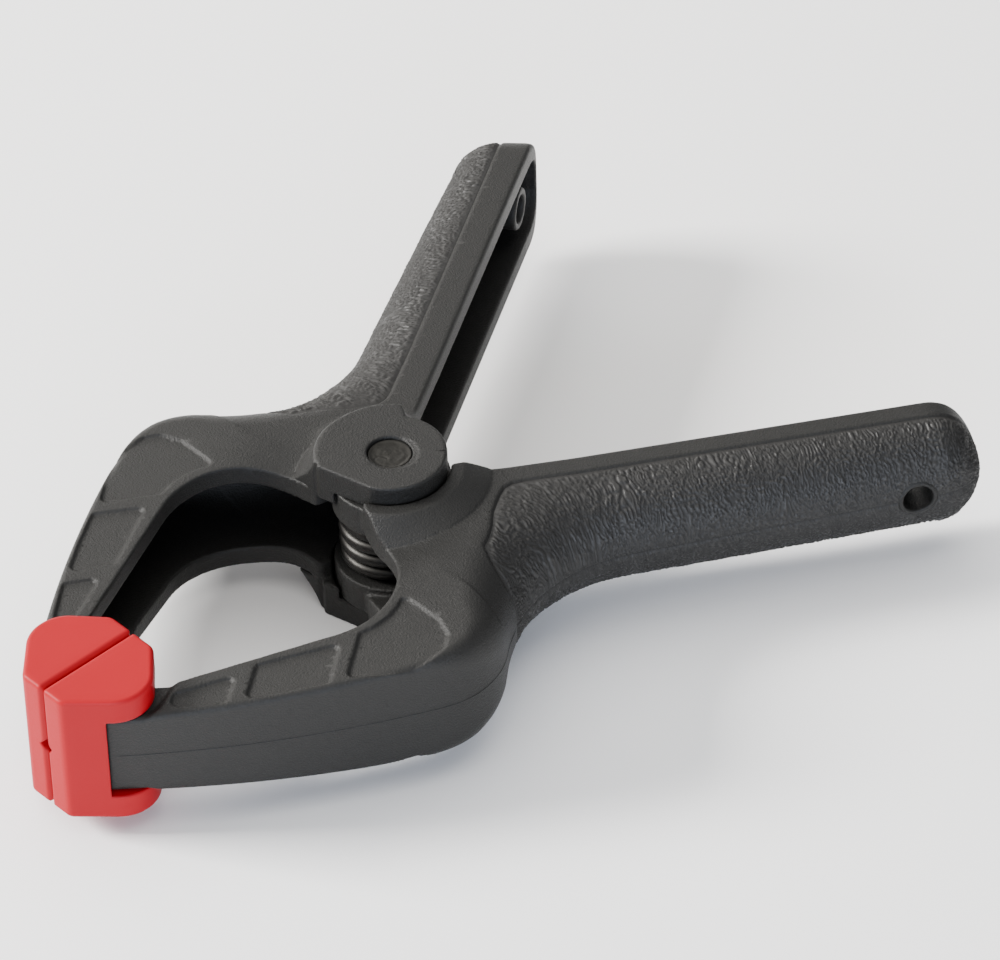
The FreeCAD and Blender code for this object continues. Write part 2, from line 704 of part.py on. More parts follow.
def spring():
    """Coil and two straight legs; each leg leaves the coil at a tangent for its handle."""
    splay = math.degrees(math.atan((leg_seat() - size("CoilRadius")) / size("LegReach")))
    leaving = size("HandleAngle") + splay
    turn = 360 * size("CoilTurns") + 360 - 2 * (90 + leaving)
    pitch = 2 * COIL_HALF * 360 / turn
    coil = Part.makeHelix(pitch, 2 * COIL_HALF, size("CoilRadius"))
    coil.rotate(Vector(), Vector(0, 0, 1), 90 + leaving)
    coil.translate(Vector(0, 0, -COIL_HALF))
    helix = coil.Edges[0]
    first = helix.valueAt(helix.FirstParameter)
    last = helix.valueAt(helix.LastParameter)
    length = size("LegReach") / math.cos(math.radians(splay))
    outer_end = polar(first, length, leaving)
    inner_end = polar(last, length, -leaving)
    path = Part.Wire([Part.makeLine(outer_end, first), helix, Part.makeLine(last, inner_end)])
    section = Part.Wire([Part.makeCircle(size("WireRadius"), outer_end, first - outer_end)])
    return path.makePipeShell([section], True, False, 0)


torsion_spring = shaped("Spring", spring())
torsion_spring.Label = "torsion_spring"


# ---------------------------------------------------------------- jaw pads

def origin_plane(body, role):
    return [item for item in body.Origin.OriginFeatures if item.Role == role][0]


def pad_sketch(body, name):
    """The pad in plan: a flat closing face, a flat back, and corners cut off both ends."""
    sketch = body.newObject("Sketcher::SketchObject", name + "Plan")
    sketch.AttachmentSupport = (origin_plane(body, "XY_Plane"), "")
    sketch.MapMode = "FlatFace"
    front = -size("PadFrontReach")
    back = front + size("PadLength")
    gap = size("PadFaceGap")
    depth = size("PadDepth")
    corners = [
        plan(front, gap),
        plan(back, gap),
        plan(back, size("PadBackFlat")),
        plan(back - size("PadBackCut"), depth),
        plan(front + depth - size("PadFrontFlat"), depth),
        plan(front, size("PadFrontFlat")),
    ]
    count = len(corners)
    for index, corner in enumerate(corners):
        sketch.addGeometry(Part.LineSegment(corner, corners[(index + 1) % count]), False)
    for index in range(count):
        sketch.addConstraint(Sketcher.Constraint("Coincident", index, 2, (index + 1) % count, 1))
    sketch.addConstraint(Sketcher.Constraint("Horizontal", 0))
    sketch.addConstraint(Sketcher.Constraint("Vertical", 1))
    sketch.addConstraint(Sketcher.Constraint("Horizontal", 3))
    sketch.addConstraint(Sketcher.Constraint("Vertical", 5))
    measures = [
        ("Reach", "DistanceX", (0, 1, -1, 1), size("PadFrontReach"), "Dims.PadFrontReach"),
        ("FaceGap", "DistanceY", (-1, 1, 0, 1), gap, "Dims.PadFaceGap"),
        ("Span", "DistanceX", (0, 1, 0, 2), size("PadLength"), "Dims.PadLength"),
        ("BackFlat", "DistanceY", (-1, 1, 1, 2), size("PadBackFlat"), "Dims.PadBackFlat"),
        ("BackCut", "DistanceX", (2, 2, 1, 2), size("PadBackCut"), "Dims.PadBackCut"),
        ("Depth", "DistanceY", (-1, 1, 2, 2), depth, "Dims.PadDepth"),
        ("FrontCut", "DistanceX", (5, 1, 3, 2), depth - size("PadFrontFlat"),
         "Dims.PadDepth - Dims.PadFrontFlat"),
        ("FrontFlat", "DistanceY", (-1, 1, 5, 1), size("PadFrontFlat"), "Dims.PadFrontFlat"),
    ]
    for label, kind, points, value, formula in measures:
        index = sketch.addConstraint(Sketcher.Constraint(kind, *points, value))
        sketch.renameConstraint(index, label)
        sketch.setExpression("Constraints." + label, formula)
    return sketch


def edges_where(shape, test):
    """Names of the edges whose two ends both pass a test."""
    return ["Edge%d" % (index + 1) for index, edge in enumerate(shape.Edges)
            if all(test(vertex.Point) for vertex in edge.Vertexes)]


def close(value, target):
    return abs(value - target) < 1e-4


def box_cut(body, name, bindings):
    """A box taken out of a body, its sizes and place bound to the sheet."""
    box = body.newObject("PartDesign::SubtractiveBox", name)
    for key, formula in bindings.items():
        box.setExpression(key, formula)
    return box


def jaw_pad(name, label):
    """A pad: a block bevelled round its closing face, slotted for the arm, with two studs."""
    body = document.addObject("PartDesign::Body", name)
    body.Label = label
    block = body.newObject("PartDesign::Pad", name + "Block")
    block.Profile = pad_sketch(body, name)
    block.Midplane = True
    block.setExpression("Length", "2 * Dims.PadHalf")
    document.recompute()

    def back_corner(point):
        return close(point.y, size("PadDepth"))

    upright = [edge for edge in edges_where(block.Shape, back_corner)
               if close(block.Shape.getElement(edge).Length, 2 * size("PadHalf"))]
    round_off = body.newObject("PartDesign::Fillet", name + "Corners")
    round_off.Base = (block, upright)
    round_off.setExpression("Radius", "Dims.PadCornerRound")
    document.recompute()

    def closing_edge(point):
        return close(point.y, size("PadFaceGap"))

    bevel = body.newObject("PartDesign::Chamfer", name + "Bevel")
    bevel.Base = (round_off, edges_where(round_off.Shape, closing_edge))
    bevel.setExpression("Size", "Dims.PadBevel")
    document.recompute()
    box_cut(body, name + "Slot", {
        "Length": "Dims.PadLength",
        "Width": "Dims.PadDepth",
        "Height": "2 * (Dims.TipHalf + Dims.PadSideGap)",
        "Placement.Base.x": "Dims.TipSetback - Dims.PadEndGap - Dims.PadFrontReach",
        "Placement.Base.y": "Dims.PadWall",
        "Placement.Base.z": "-Dims.TipHalf - Dims.PadSideGap",
    })
    notch = box_cut(body, name + "Notch", {
        "Length": "Dims.PadLength + 2 * Dims.PadBevel",
        "Width": "Dims.NotchWidth / sqrt(2)",
        "Height": "Dims.NotchWidth / sqrt(2)",
        "Placement.Base.x": "-Dims.PadFrontReach - Dims.PadBevel",
        "Placement.Base.y": "Dims.PadFaceGap",
        "Placement.Base.z": "-Dims.NotchWidth / 2",
    })
    notch.Placement.Rotation = FreeCAD.Rotation(Vector(1, 0, 0), 45)
    for end, low in (("Upper", "Dims.TipHalf + Dims.PadSideGap - Dims.StudLength"),
                     ("Lower", "-Dims.TipHalf - Dims.PadSideGap - Dims.PadBevel")):
        stud = body.newObject("PartDesign::AdditiveCylinder", name + end + "Stud")
        stud.setExpression("Radius", "Dims.StudRadius")
        stud.setExpression("Height", "Dims.StudLength + Dims.PadBevel")
        stud.setExpression("Placement.Base.x",
                           "Dims.TipSetback + Dims.PadPivotSetback - Dims.PadFrontReach")
        stud.setExpression("Placement.Base.y", "Dims.TipRise")
        stud.setExpression("Placement.Base.z", low)
    document.recompute()
    return body


pads = [jaw_pad("OuterPad", "jaw_pad_outer"), jaw_pad("InnerPad", "jaw_pad_inner")]


# ---------------------------------------------------------------- placing and writing

document.recompute()
reach = max(item.Shape.optimalBoundingBox(False, False).XMax for item in (outer_lever, inner_lever))
stand = FreeCAD.Placement(
    Vector((size("PadFrontReach") - reach) / 2, 0,
           size("HubHalf") + size("EarGap") + size("EarThickness")), FreeCAD.Rotation())
turned = FreeCAD.Placement(Vector(), FreeCAD.Rotation(Vector(1, 0, 0), 180))
outer_side = [outer_lever, pin, torsion_spring, pads[0]]
inner_side = [inner_lever, pads[1]]
for item in outer_side:
    item.Placement = stand
for item in inner_side:
    item.Placement = stand.multiply(turned)
document.recompute()

failed = [item.Label for item in document.Objects if {"Invalid", "Error"} & set(item.State)]
for item in outer_side + inner_side:
    if item.Shape.isNull() or not item.Shape.isValid() or len(item.Shape.Solids) != 1:
        failed.append(item.Label)
if failed:
    raise RuntimeError("these objects failed: " + ", ".join(failed))

os.makedirs("parts", exist_ok=True)
for item in outer_side + inner_side:
    item.Shape.exportStep("parts/%s.step" % item.Label)
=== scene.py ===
import copy
import json
import math

import bpy
import numpy as np
import openvdb
from mathutils import Matrix, Vector


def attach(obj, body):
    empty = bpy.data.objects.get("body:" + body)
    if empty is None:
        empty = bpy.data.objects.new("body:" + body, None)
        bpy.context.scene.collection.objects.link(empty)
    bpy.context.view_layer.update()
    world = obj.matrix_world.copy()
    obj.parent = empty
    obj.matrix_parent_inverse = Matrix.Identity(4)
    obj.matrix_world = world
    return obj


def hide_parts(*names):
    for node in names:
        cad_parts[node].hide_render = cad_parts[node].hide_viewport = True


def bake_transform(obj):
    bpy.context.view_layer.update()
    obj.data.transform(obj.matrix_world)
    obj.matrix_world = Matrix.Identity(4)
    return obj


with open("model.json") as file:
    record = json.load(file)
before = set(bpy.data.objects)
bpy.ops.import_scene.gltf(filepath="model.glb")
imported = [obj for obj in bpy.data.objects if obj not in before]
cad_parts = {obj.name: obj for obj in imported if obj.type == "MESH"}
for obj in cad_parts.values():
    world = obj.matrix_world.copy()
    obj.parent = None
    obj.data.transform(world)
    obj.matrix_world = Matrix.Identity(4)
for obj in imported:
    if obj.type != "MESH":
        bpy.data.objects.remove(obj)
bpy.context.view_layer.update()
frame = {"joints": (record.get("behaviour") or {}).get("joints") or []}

# Shapes are worked out in millimetres about the pivot axis at mid-height, with both
# levers and both pads drawn on the +Y side. The inner ones are turned half a turn about X.
MM = 0.001
PIVOT = Vector([joint for joint in frame["joints"] if joint["name"] == "lever_pivot"][0]["pos_m"])
SIDES = {"outer": 1, "inner": -1}

# The handle: its direction, where its end round starts and stops, and its depth in plan.
HANDLE_ANGLE = math.radians(31.3)
HANDLE_LENGTH = 105.0
HANDLE_END = 96.0
END_ROUND = 9.0
END_DROP = 7.0
END_RISE = {"outer": 1.4, "inner": 4.2}
DEPTH_FROM = 38.8
ROOT_DEPTH = 17.7
END_DEPTH = 14.9

# Half the height of each stretch of a lever, its walls, and where its open edge runs.
HANDLE_HALF = 11.2
HUB_HALF = 12.2
NECK_HALF = 9.3
HEAD_HALF = 8.3
WALL = 2.4
FLANGE = 3.9
RIM = {"outer": 0.2, "inner": 2.0}

# The arm in plan, with the centres and radii of its curves.
TIP = np.array([-74.6, 9.3])
NECK = np.array([-60.2, 11.2])
ELBOW = np.array([-19.0, 26.2])
ELBOW_RADIUS = 16.0
WAIST_RADIUS = 30.0
THROAT = {"outer": np.array([-26.9, 8.5]), "inner": np.array([-27.6, 9.0])}
THROAT_RADIUS = {"outer": 15.5, "inner": 15.2}
THROAT_STOP = {"outer": 0, "inner": 2}
LUG = {"outer": [(-11.35, 7.8), (-11.1, 7.25), (-10.5, 7.0), (-6.0, 5.6)],
       "inner": [(-11.0, 5.2), (-10.0, 3.7), (-6.0, 2.6)]}
EAR_NOOK = (2.0, 4.6)
RIM_FROM = 11.0
ARM_BACK_RADIUS = 205.0
HEAD_CORNER = [(-74.6, 7.92), (-72.08, 5.4)]
HEAD_RADIUS = 3.9
PAD_PIVOT = np.array([-68.3, 9.3])
PAD_TILT = 25.0

# The outer lever's ears, with the raised shoulder and sloping skirt that carry them.
EAR_TOP = 17.25
EAR_LOW = 12.35
EAR_RADIUS = 10.2
EAR_CORNERS = [(10.2, 8.0), (-11.7, 6.2)]
EAR_CLEARANCE = 11.0
SHOULDER_RADIUS = 13.0
SHOULDER_LOW = 10.5
COVE_RADIUS = 6.0
SKIRT_TOP = 16.0
SKIRT_RISE = 0.80
SKIRT_FALL = 0.60

# The inner lever's ears, with the raised ring round them.
INNER_EAR_RADIUS = 10.6
INNER_EAR_POCKET = 10.62
RING_RADIUS = 13.1
RING_SLOPE = 4.5
RING_FOOT = 17.6
RING_RISE = 1.75

# The bores for the pin and for the pads' studs, and the shallow recess round the pin's end.
PIN_BORE = {"outer": 4.0, "inner": 4.05}
STUD_BORE = 2.25
STUD_BORE_FROM = 5.9
BURR = (0.26, -0.70)
BURR_RADIUS = 4.3
BURR_DEPTH = 0.3

# Where the hollow of the channel starts in the head, and its corner rounds.
HOLLOW_FROM_X = -57.6
HOLLOW_ROUND = (1.3, 6.8)


# ---------------------------------------------------------------- plan curves

def along_across(along, across):
    """Plan point at a distance along the handle, and across it towards its back."""
    return np.array([along * math.cos(HANDLE_ANGLE) - across * math.sin(HANDLE_ANGLE),
                     along * math.sin(HANDLE_ANGLE) + across * math.cos(HANDLE_ANGLE)])


def arc(centre, radius, start, end, step=0.8):
    """Points of an arc between two headings in degrees."""
    count = max(2, int(abs(math.radians(end - start)) * radius / step) + 1)
    angles = np.radians(np.linspace(start, end, count))
    return [centre + radius * np.array([math.cos(a), math.sin(a)]) for a in angles]


def heading(vector):
    """The direction of a plan vector in degrees."""
    return math.degrees(math.atan2(vector[1], vector[0]))


def handle_depth(along):
    """How far the handle's back is from the line through the pivot along the handle."""
    return ROOT_DEPTH + (along - DEPTH_FROM) / (HANDLE_LENGTH - DEPTH_FROM) * (END_DEPTH - ROOT_DEPTH)


def end_reach(angle):
    """How far along the handle its end round has come after turning so far."""
    return HANDLE_END + END_ROUND * math.sin(angle)


# Both plan curves end with one point for each of these turns, the back without the first.
END_TURNS = [math.radians(degrees) for degrees in range(0, 91, 6)]
END_COUNT = len(END_TURNS) - 1


def back_curve():
    """The back of a lever in plan, from the jaw tip round the handle end."""
    gap = ELBOW - TIP
    span = np.linalg.norm(gap)
    far = ARM_BACK_RADIUS
    near = ARM_BACK_RADIUS - ELBOW_RADIUS
    along = (far ** 2 - near ** 2 + span ** 2) / (2 * span)
    across = math.sqrt(far ** 2 - along ** 2)
    unit = gap / span
    centre = TIP + unit * along + np.array([unit[1], -unit[0]]) * across
    root = along_across(DEPTH_FROM, ROOT_DEPTH)
    run = along_across(HANDLE_LENGTH, END_DEPTH) - root
    run /= np.linalg.norm(run)
    outward = np.array([-run[1], run[0]])
    level = root + outward * WAIST_RADIUS
    back = (ELBOW - level).dot(run)
    height = (ELBOW - level).dot(outward)
    waist = level + run * (back + math.sqrt((ELBOW_RADIUS + WAIST_RADIUS) ** 2 - height ** 2))
    points = arc(centre, far, heading(TIP - centre), heading(ELBOW - centre))
    points += arc(ELBOW, ELBOW_RADIUS, heading(ELBOW - centre), heading(waist - ELBOW))[1:]
    touch = heading(ELBOW - waist) % 360
    points += arc(waist, WAIST_RADIUS, touch, heading(-outward) % 360)[1:]
    waist_end = points[-1].dot(along_across(1.0, 0.0))
    points += [along_across(s, handle_depth(s)) for s in np.linspace(waist_end, HANDLE_END, 40)[1:]]
    for angle in END_TURNS[1:]:
        reach = end_reach(angle)
        points.append(along_across(reach, handle_depth(reach) - END_DROP * (1 - math.cos(angle))))
    return np.array(points)


def front_curve(side):
    """The open edge of a lever in plan, from its head round the throat to the handle end."""
    rim = RIM[side]
    throat, radius = THROAT[side], THROAT_RADIUS[side]
    toward = NECK - PAD_PIVOT
    touch = heading(toward) - math.degrees(math.acos(HEAD_RADIUS / np.linalg.norm(toward)))
    toward = NECK - throat
    leave = heading(toward) - math.degrees(math.acos(radius / np.linalg.norm(toward)))
    points = [np.array(corner) for corner in HEAD_CORNER]
    points += arc(PAD_PIVOT, HEAD_RADIUS, -90, touch, 0.4)
    points += [NECK]
    points += arc(throat, radius, leave, THROAT_STOP[side])
    points += [np.array(corner) for corner in LUG[side]]
    points += [np.array(EAR_NOOK), along_across(RIM_FROM, rim), along_across(60, rim)]
    for angle in END_TURNS:
        points.append(along_across(end_reach(angle), rim + END_RISE[side] * (1 - math.cos(angle))))
    return np.array(points)


BACK = back_curve()
BACK_RUN = np.concatenate([[0], np.cumsum(np.hypot(*np.diff(BACK, axis=0).T))])
MID_ROUND = -(END_COUNT + 1) // 2


def run_at_x(x):
    """How far along the back curve a given x lies (the curve never turns back in x)."""
    return np.interp(x, BACK[:1 - END_COUNT, 0], BACK_RUN[:1 - END_COUNT])


# How the back rounds off: x of the back curve, then depth and height of the rounding.
ROUNDING = np.array([
    (-74.6, 1.2, 1.2), (-34.0, 1.3, 1.3), (-27.5, 1.5, 2.0), (-19.2, 3.6, 4.6), (-9.9, 7.6, 8.2),
    (-3.5, 9.6, 10.4), (1.5, 11.2, 11.8), (5.0, 12.6, 11.8), (12.0, 13.0, 11.5),
    (21.0, 12.8, 11.1), (33.0, 11.6, 10.8), (73.0, 9.4, 10.8)])
# The same depth and height at the middle and at the tip of the handle's end round.
END_ROUNDING = np.array([(7.6, 7.4), (6.0, 4.0)])
ROUND_RUN = np.append(run_at_x(ROUNDING[:, 0]), [BACK_RUN[MID_ROUND], BACK_RUN[-1]])
ROUND_DEPTH = np.append(ROUNDING[:, 1], END_ROUNDING[:, 0])
ROUND_HEIGHT = np.append(ROUNDING[:, 2], END_ROUNDING[:, 1])

# The hang hole's place along the handle, and the edge of the grained grip in plan.
HANG_HOLE = 91.5
HOLE_RADIUS = 2.7
TUBE_RADIUS = 4.1
GRIP_LINE = 6.0
GRIP_ROOT = [(18.0, 18.0), (15.8, 16.7), (14.0, 15.9), (12.0, 15.8), (9.4, 17.1), (6.1, 19.2),
             (3.6, 21.6), (1.3, 23.3), (-1.2, 24.6), (-2.3, 27.3), (-2.9, 29.4), (-3.1, 31.0),
             (-3.1, 40.0)]
GRIP_FROM_X = -3.0


def grip_cover(x, y):
    """How far inside the edge of the grip a place in plan is."""
    beyond = HANDLE_LENGTH + 15
    corners = [along_across(beyond, 40.0), along_across(beyond, GRIP_LINE)]
    corners += [along_across(28.0, GRIP_LINE)] + [np.array(p) for p in GRIP_ROOT]
    return -polygon_field(corners, x, y)


# ---------------------------------------------------------------- distance fields

FAR = 1e9


def polyline_field(points, x, y):
    """Distance to a polyline, and how far along it the nearest point lies."""
    best = np.full(x.shape, FAR, np.float32)
    at = np.zeros(x.shape, np.float32)
    run = 0.0
    for a, b in zip(points[:-1], points[1:]):
        d = b - a
        length = math.hypot(*d)
        if length == 0:
            continue
        t = np.clip(((x - a[0]) * d[0] + (y - a[1]) * d[1]) / length ** 2, 0, 1)
        distance = np.hypot(x - a[0] - t * d[0], y - a[1] - t * d[1])
        near = distance < best
        best[near] = distance[near]
        at[near] = run + t[near] * length
        run += length
    return best, at


def inside(points, x, y):
    """Which places lie inside a closed polygon."""
    result = np.zeros(x.shape, bool)
    for a, b in zip(points, np.roll(points, -1, axis=0)):
        if a[1] == b[1]:
            continue
        crosses = (a[1] > y) != (b[1] > y)
        result ^= crosses & (x < (b[0] - a[0]) * (y - a[1]) / (b[1] - a[1]) + a[0])
    return result


def polygon_field(points, x, y):
    """Signed distance to a closed polygon, negative inside."""
    points = np.asarray(points, float)
    distance, _ = polyline_field(np.vstack([points, points[:1]]), x, y)
    return np.where(inside(points, x, y), -distance, distance)


def inset(points, amount):
    """A counter-clockwise polygon with every side moved inwards."""
    points = np.asarray(points, float)
    result = []
    count = len(points)
    for i in range(count):
        p, c, n = points[i - 1], points[i], points[(i + 1) % count]
        u = (c - p) / np.linalg.norm(c - p)
        v = (n - c) / np.linalg.norm(n - c)
        bisector = np.array([-u[1] - v[1], u[0] + v[0]])
        scale = 1 + u.dot(v)
        result.append(c + bisector * amount / max(scale, 0.3))
    return np.array(result)


def rounded_field(points, radius, x, y):
    """Signed distance to a polygon whose corners are rounded off."""
    return polygon_field(inset(points, radius), x, y) - radius


def meet(a, b, radius):
    """Intersection of two fields, with the edge between them rounded off."""
    return (np.minimum(-radius, np.maximum(a, b))
            + np.hypot(np.maximum(a + radius, 0), np.maximum(b + radius, 0)))


def join(a, b, radius):
    """Union of two fields, with the corner between them filled in a round cove."""
    return (np.maximum(radius, np.minimum(a, b))
            - np.hypot(np.maximum(radius - a, 0), np.maximum(radius - b, 0)))


def ease(t):
    """A smooth step from 0 to 1."""
    t = np.clip(t, 0, 1)
    return t * t * (3 - 2 * t)


class Grid:
    """A regular grid over a box that is alike above and below z = 0."""

    def __init__(self, low, high, top, step):
        self.step = step
        self.low = np.array([low[0], low[1]], float)
        nx = int((high[0] - low[0]) / step) + 1
        ny = int((high[1] - low[1]) / step) + 1
        self.nz = int(top / step) + 1
        self.x, self.y = np.meshgrid(low[0] + step * np.arange(nx),
                                     low[1] + step * np.arange(ny), indexing="ij")
        self.x = self.x.astype(np.float32)
        self.y = self.y.astype(np.float32)
        self.z = (step * np.arange(self.nz)).astype(np.float32)[None, None, :]

    def whole(self, field):
        """The upper half of a field, with its mirror image below."""
        return np.concatenate([field[:, :, :0:-1], field], axis=2)

    def corner(self):
        """The lowest corner of the whole grid."""
        return np.array([self.low[0], self.low[1], -(self.nz - 1) * self.step])


def sample(field, origin, step, points):
    """Values of a field between its grid places."""
    p = (points - origin) / step
    limits = np.array(field.shape) - 1.001
    p = np.clip(p, 0, limits)
    i = p.astype(int)
    f = p - i
    value = np.zeros(len(p))
    for dx in (0, 1):
        for dy in (0, 1):
            for dz in (0, 1):
                weight = (np.abs(1 - dx - f[:, 0]) * np.abs(1 - dy - f[:, 1])
                          * np.abs(1 - dz - f[:, 2]))
                value += weight * field[i[:, 0] + dx, i[:, 1] + dy, i[:, 2] + dz]
    return value


def gradient(field, origin, step, points):
    """Unit direction in which a field grows."""
    result = np.zeros((len(points), 3))
    for axis in range(3):
        offset = np.zeros(3)
        offset[axis] = 0.6 * step
        result[:, axis] = (sample(field, origin, step, points + offset)
                           - sample(field, origin, step, points - offset))
    return result / np.maximum(np.linalg.norm(result, axis=1), 1e-9)[:, None]


def turned(vectors, side):
    """Vectors as drawn, or turned half a turn about X for the inner side."""
    sign = SIDES[side]
    return vectors * np.array([1, sign, sign])


def placed(points, side):
    """Millimetres about the pivot to metres in the row frame."""
    return turned(points, side) * MM + np.array(PIVOT)


def link(name, data):
    """A new object of the scene."""
    item = bpy.data.objects.new(name, data)
    bpy.context.collection.objects.link(item)
    return item


def face_outwards(mesh, normals, face):
    """Turns all faces over if this one faces inwards."""
    if Vector(normals[face.vertices[0]]).dot(face.normal) < 0:
        mesh.flip_normals()


BAND = 3.0


def skin_mesh(name, field, grid, side, adaptivity):
    """The surface of a field as a mesh, with its normals taken from the field."""
    whole = grid.whole(field).astype(np.float32)
    volume = openvdb.FloatGrid()
    volume.background = BAND
    volume.copyFromArray(np.clip(whole, -BAND, BAND), tolerance=0)
    points, triangles, quads = volume.convertToPolygons(isovalue=0.0, adaptivity=adaptivity)
    corner = grid.corner()
    points = points.astype(float) * grid.step + corner
    normals = gradient(whole, corner, grid.step, points)
    drop = sample(whole, corner, grid.step, points)
    points -= normals * np.clip(drop, -grid.step, grid.step)[:, None]
    points[:, 2] = np.clip(points[:, 2], -EAR_TOP, EAR_TOP)
    faces = [tuple(t) for t in triangles.tolist()] + [tuple(q) for q in quads.tolist()]
    mesh = bpy.data.meshes.new(name)
    mesh.from_pydata(placed(points, side).tolist(), [], faces)
    mesh.validate(clean_customdata=False)
    mesh.update()
    out = turned(normals, side)
    face_outwards(mesh, out, mesh.polygons[len(mesh.polygons) // 2])
    mesh.shade_smooth()
    mesh.normals_split_custom_set_from_vertices(out.tolist())
    return link(name, mesh)


def filleted(corners, radii):
    """A counter-clockwise polygon with each corner turned on an arc."""
    points = []
    for i, radius in enumerate(radii):
        corner = np.array(corners[i], float)
        back = corners[i - 1] - corner
        ahead = corners[(i + 1) % len(corners)] - corner
        back /= np.linalg.norm(back)
        ahead /= np.linalg.norm(ahead)
        half_turn = math.acos(back.dot(ahead)) / 2
        middle = (back + ahead) / np.linalg.norm(back + ahead)
        centre = corner + middle * radius / math.sin(half_turn)
        start = heading(corner + back * radius / math.tan(half_turn) - centre)
        points += arc(centre, radius, start, start + 180 - math.degrees(2 * half_turn), 0.4)
    return points


PAD_PLAN = filleted([(-80.4, 0.05), (-59.8, 0.05), (-59.8, 5.4), (-69.2, 16.1), (-80.4, 4.9)],
                    [0.1, 0.1, 2.2, 7.0, 2.0])


# ---------------------------------------------------------------- levers

# The shallow sunk panels on an arm, from the elbow to the neck.
PANELS = [
    [(-39.8, 31.9), (-31.0, 25.6), (-27.8, 26.3), (-24.6, 26.2), (-21.9, 25.4), (-19.6, 24.1),
     (-19.5, 33.3), (-20.9, 37.0), (-23.6, 38.9), (-27.0, 39.0), (-30.4, 38.4), (-35.0, 35.6)],
    [(-54.8, 22.9), (-48.1, 18.2), (-35.0, 25.0), (-42.5, 30.7), (-48.8, 27.0)],
    [(-63.9, 16.1), (-64.1, 14.2), (-62.3, 13.0), (-52.2, 17.6), (-57.5, 21.3)],
]
PANEL_ROUND = 1.0
PANEL_DEPTH = 0.50
PANEL_WALL = 0.40
HUB_START = -10.0
PAD_GAP = 0.25
# How far the pad swivels, in degrees, and how gently the neck falls away beside it there.
PAD_TURNS = ((0.0, 0.5), (PAD_TILT / 2, 1.0), (PAD_TILT, 1.5))
# The shallow dip that the flange has beside the hub.
DIP = (-11.5, 11.5)
DIP_DEPTH = 1.9
DIP_WIDTH = 8.5
# Half the height of the handle at distances along it.
TAPER = ((3.0, HUB_HALF), (11.0, 11.9), (19.4, 11.5), (33.0, HANDLE_HALF))
END_POWER = 2.2


def along_handle(x, y):
    """How far along the handle a place in plan is."""
    return x * math.cos(HANDLE_ANGLE) + y * math.sin(HANDLE_ANGLE)


def across_handle(x, y):
    """How far a place in plan is from the handle's line, towards its back."""
    return -x * math.sin(HANDLE_ANGLE) + y * math.cos(HANDLE_ANGLE)


def half_height(grid):
    """Half the height of a lever over the plan, before panels and rings."""
    along = along_handle(grid.x, grid.y)
    arm = NECK_HALF + (grid.x - NECK[0]) * (HUB_HALF - NECK_HALF) / (HUB_START - NECK[0])
    clear = np.full(grid.x.shape, 9.0, np.float32)
    near = (grid.x < -50) & (grid.x > -80)
    for turn, spread in PAD_TURNS:
        angle = math.radians(turn)
        dx, dy = grid.x[near] - PAD_PIVOT[0], grid.y[near] - PAD_PIVOT[1]
        past = polygon_field(PAD_PLAN, PAD_PIVOT[0] + dx * math.cos(angle) + dy * math.sin(angle),
                             PAD_PIVOT[1] - dx * math.sin(angle) + dy * math.cos(angle))
        clear[near] = np.minimum(clear[near], (past - PAD_GAP) / spread)
    arm = HEAD_HALF + (arm - HEAD_HALF) * ease(clear)
    handle = np.interp(along, *zip(*TAPER))
    end = np.clip((along - HANDLE_END + 1) / (END_ROUND + 1), 0, 1)
    handle = handle * np.maximum(1 - end ** END_POWER, 0) ** (1 / END_POWER)
    from_dip = (grid.x - DIP[0]) ** 2 + (grid.y - DIP[1]) ** 2
    dip = DIP_DEPTH * np.exp(-from_dip / DIP_WIDTH ** 2)
    top = np.where(grid.x < HUB_START, arm - dip, np.minimum(HUB_HALF, handle - dip))
    return top.astype(np.float32)


def rounded_body(q, half, z, depth, height):
    """A field flat on top, with its back edge rounded by a quarter of an ellipse."""
    fall = half - z
    u = np.maximum(depth - q, 0) / depth
    v = np.maximum(height - fall, 0) / height
    k = np.hypot(u, v)
    slope = np.hypot(u / depth, v / height)
    curved = (k - 1) * k / np.maximum(slope, 1e-6)
    flat = -np.minimum(q, fall)
    return np.where((u > 0) & (v > 0), curved, flat)


def plan_fields(grid, side):
    """Signed depth inside the back, place along the back, and depth inside the open edge."""
    below = np.array([TIP[0], -60.0])
    beyond = along_across(HANDLE_LENGTH, -40.0)
    depth, at = polyline_field(np.vstack([below, BACK, beyond]), grid.x, grid.y)
    at = at - (TIP[1] - below[1])
    within = inside(np.vstack([BACK, beyond, below]), grid.x, grid.y)
    depth = np.where(within, depth, -depth)
    front = front_curve(side)
    above = along_across(HANDLE_LENGTH, 60.0)
    edge, _ = polyline_field(np.vstack([[TIP[0], 90.0], front, above]), grid.x, grid.y)
    within = inside(np.vstack([front, above, [TIP[0], 120.0]]), grid.x, grid.y)
    edge = np.where(within, edge, -edge)
    return depth, at, edge


# The outer handle ends this much sooner, and sooner still towards its back. It shortens
# gradually, from a distance along it and over a length.
END_SHORT = 1.4
END_SLANT = 0.25
SHORT_FROM = 78.0
SHORT_OVER = 26.0


def as_drawn(grid, side):
    """The grid in the plan as drawn, where both handles are of one length."""
    drawn = copy.copy(grid)
    if side == "outer":
        along = along_handle(grid.x, grid.y)
        across = across_handle(grid.x, grid.y)
        short = END_SHORT + END_SLANT * np.maximum(across - 2.0, 0)
        along = along + short * ease((along - SHORT_FROM) / SHORT_OVER)
        drawn.x = along * math.cos(HANDLE_ANGLE) - across * math.sin(HANDLE_ANGLE)
        drawn.y = along * math.sin(HANDLE_ANGLE) + across * math.cos(HANDLE_ANGLE)
    return drawn


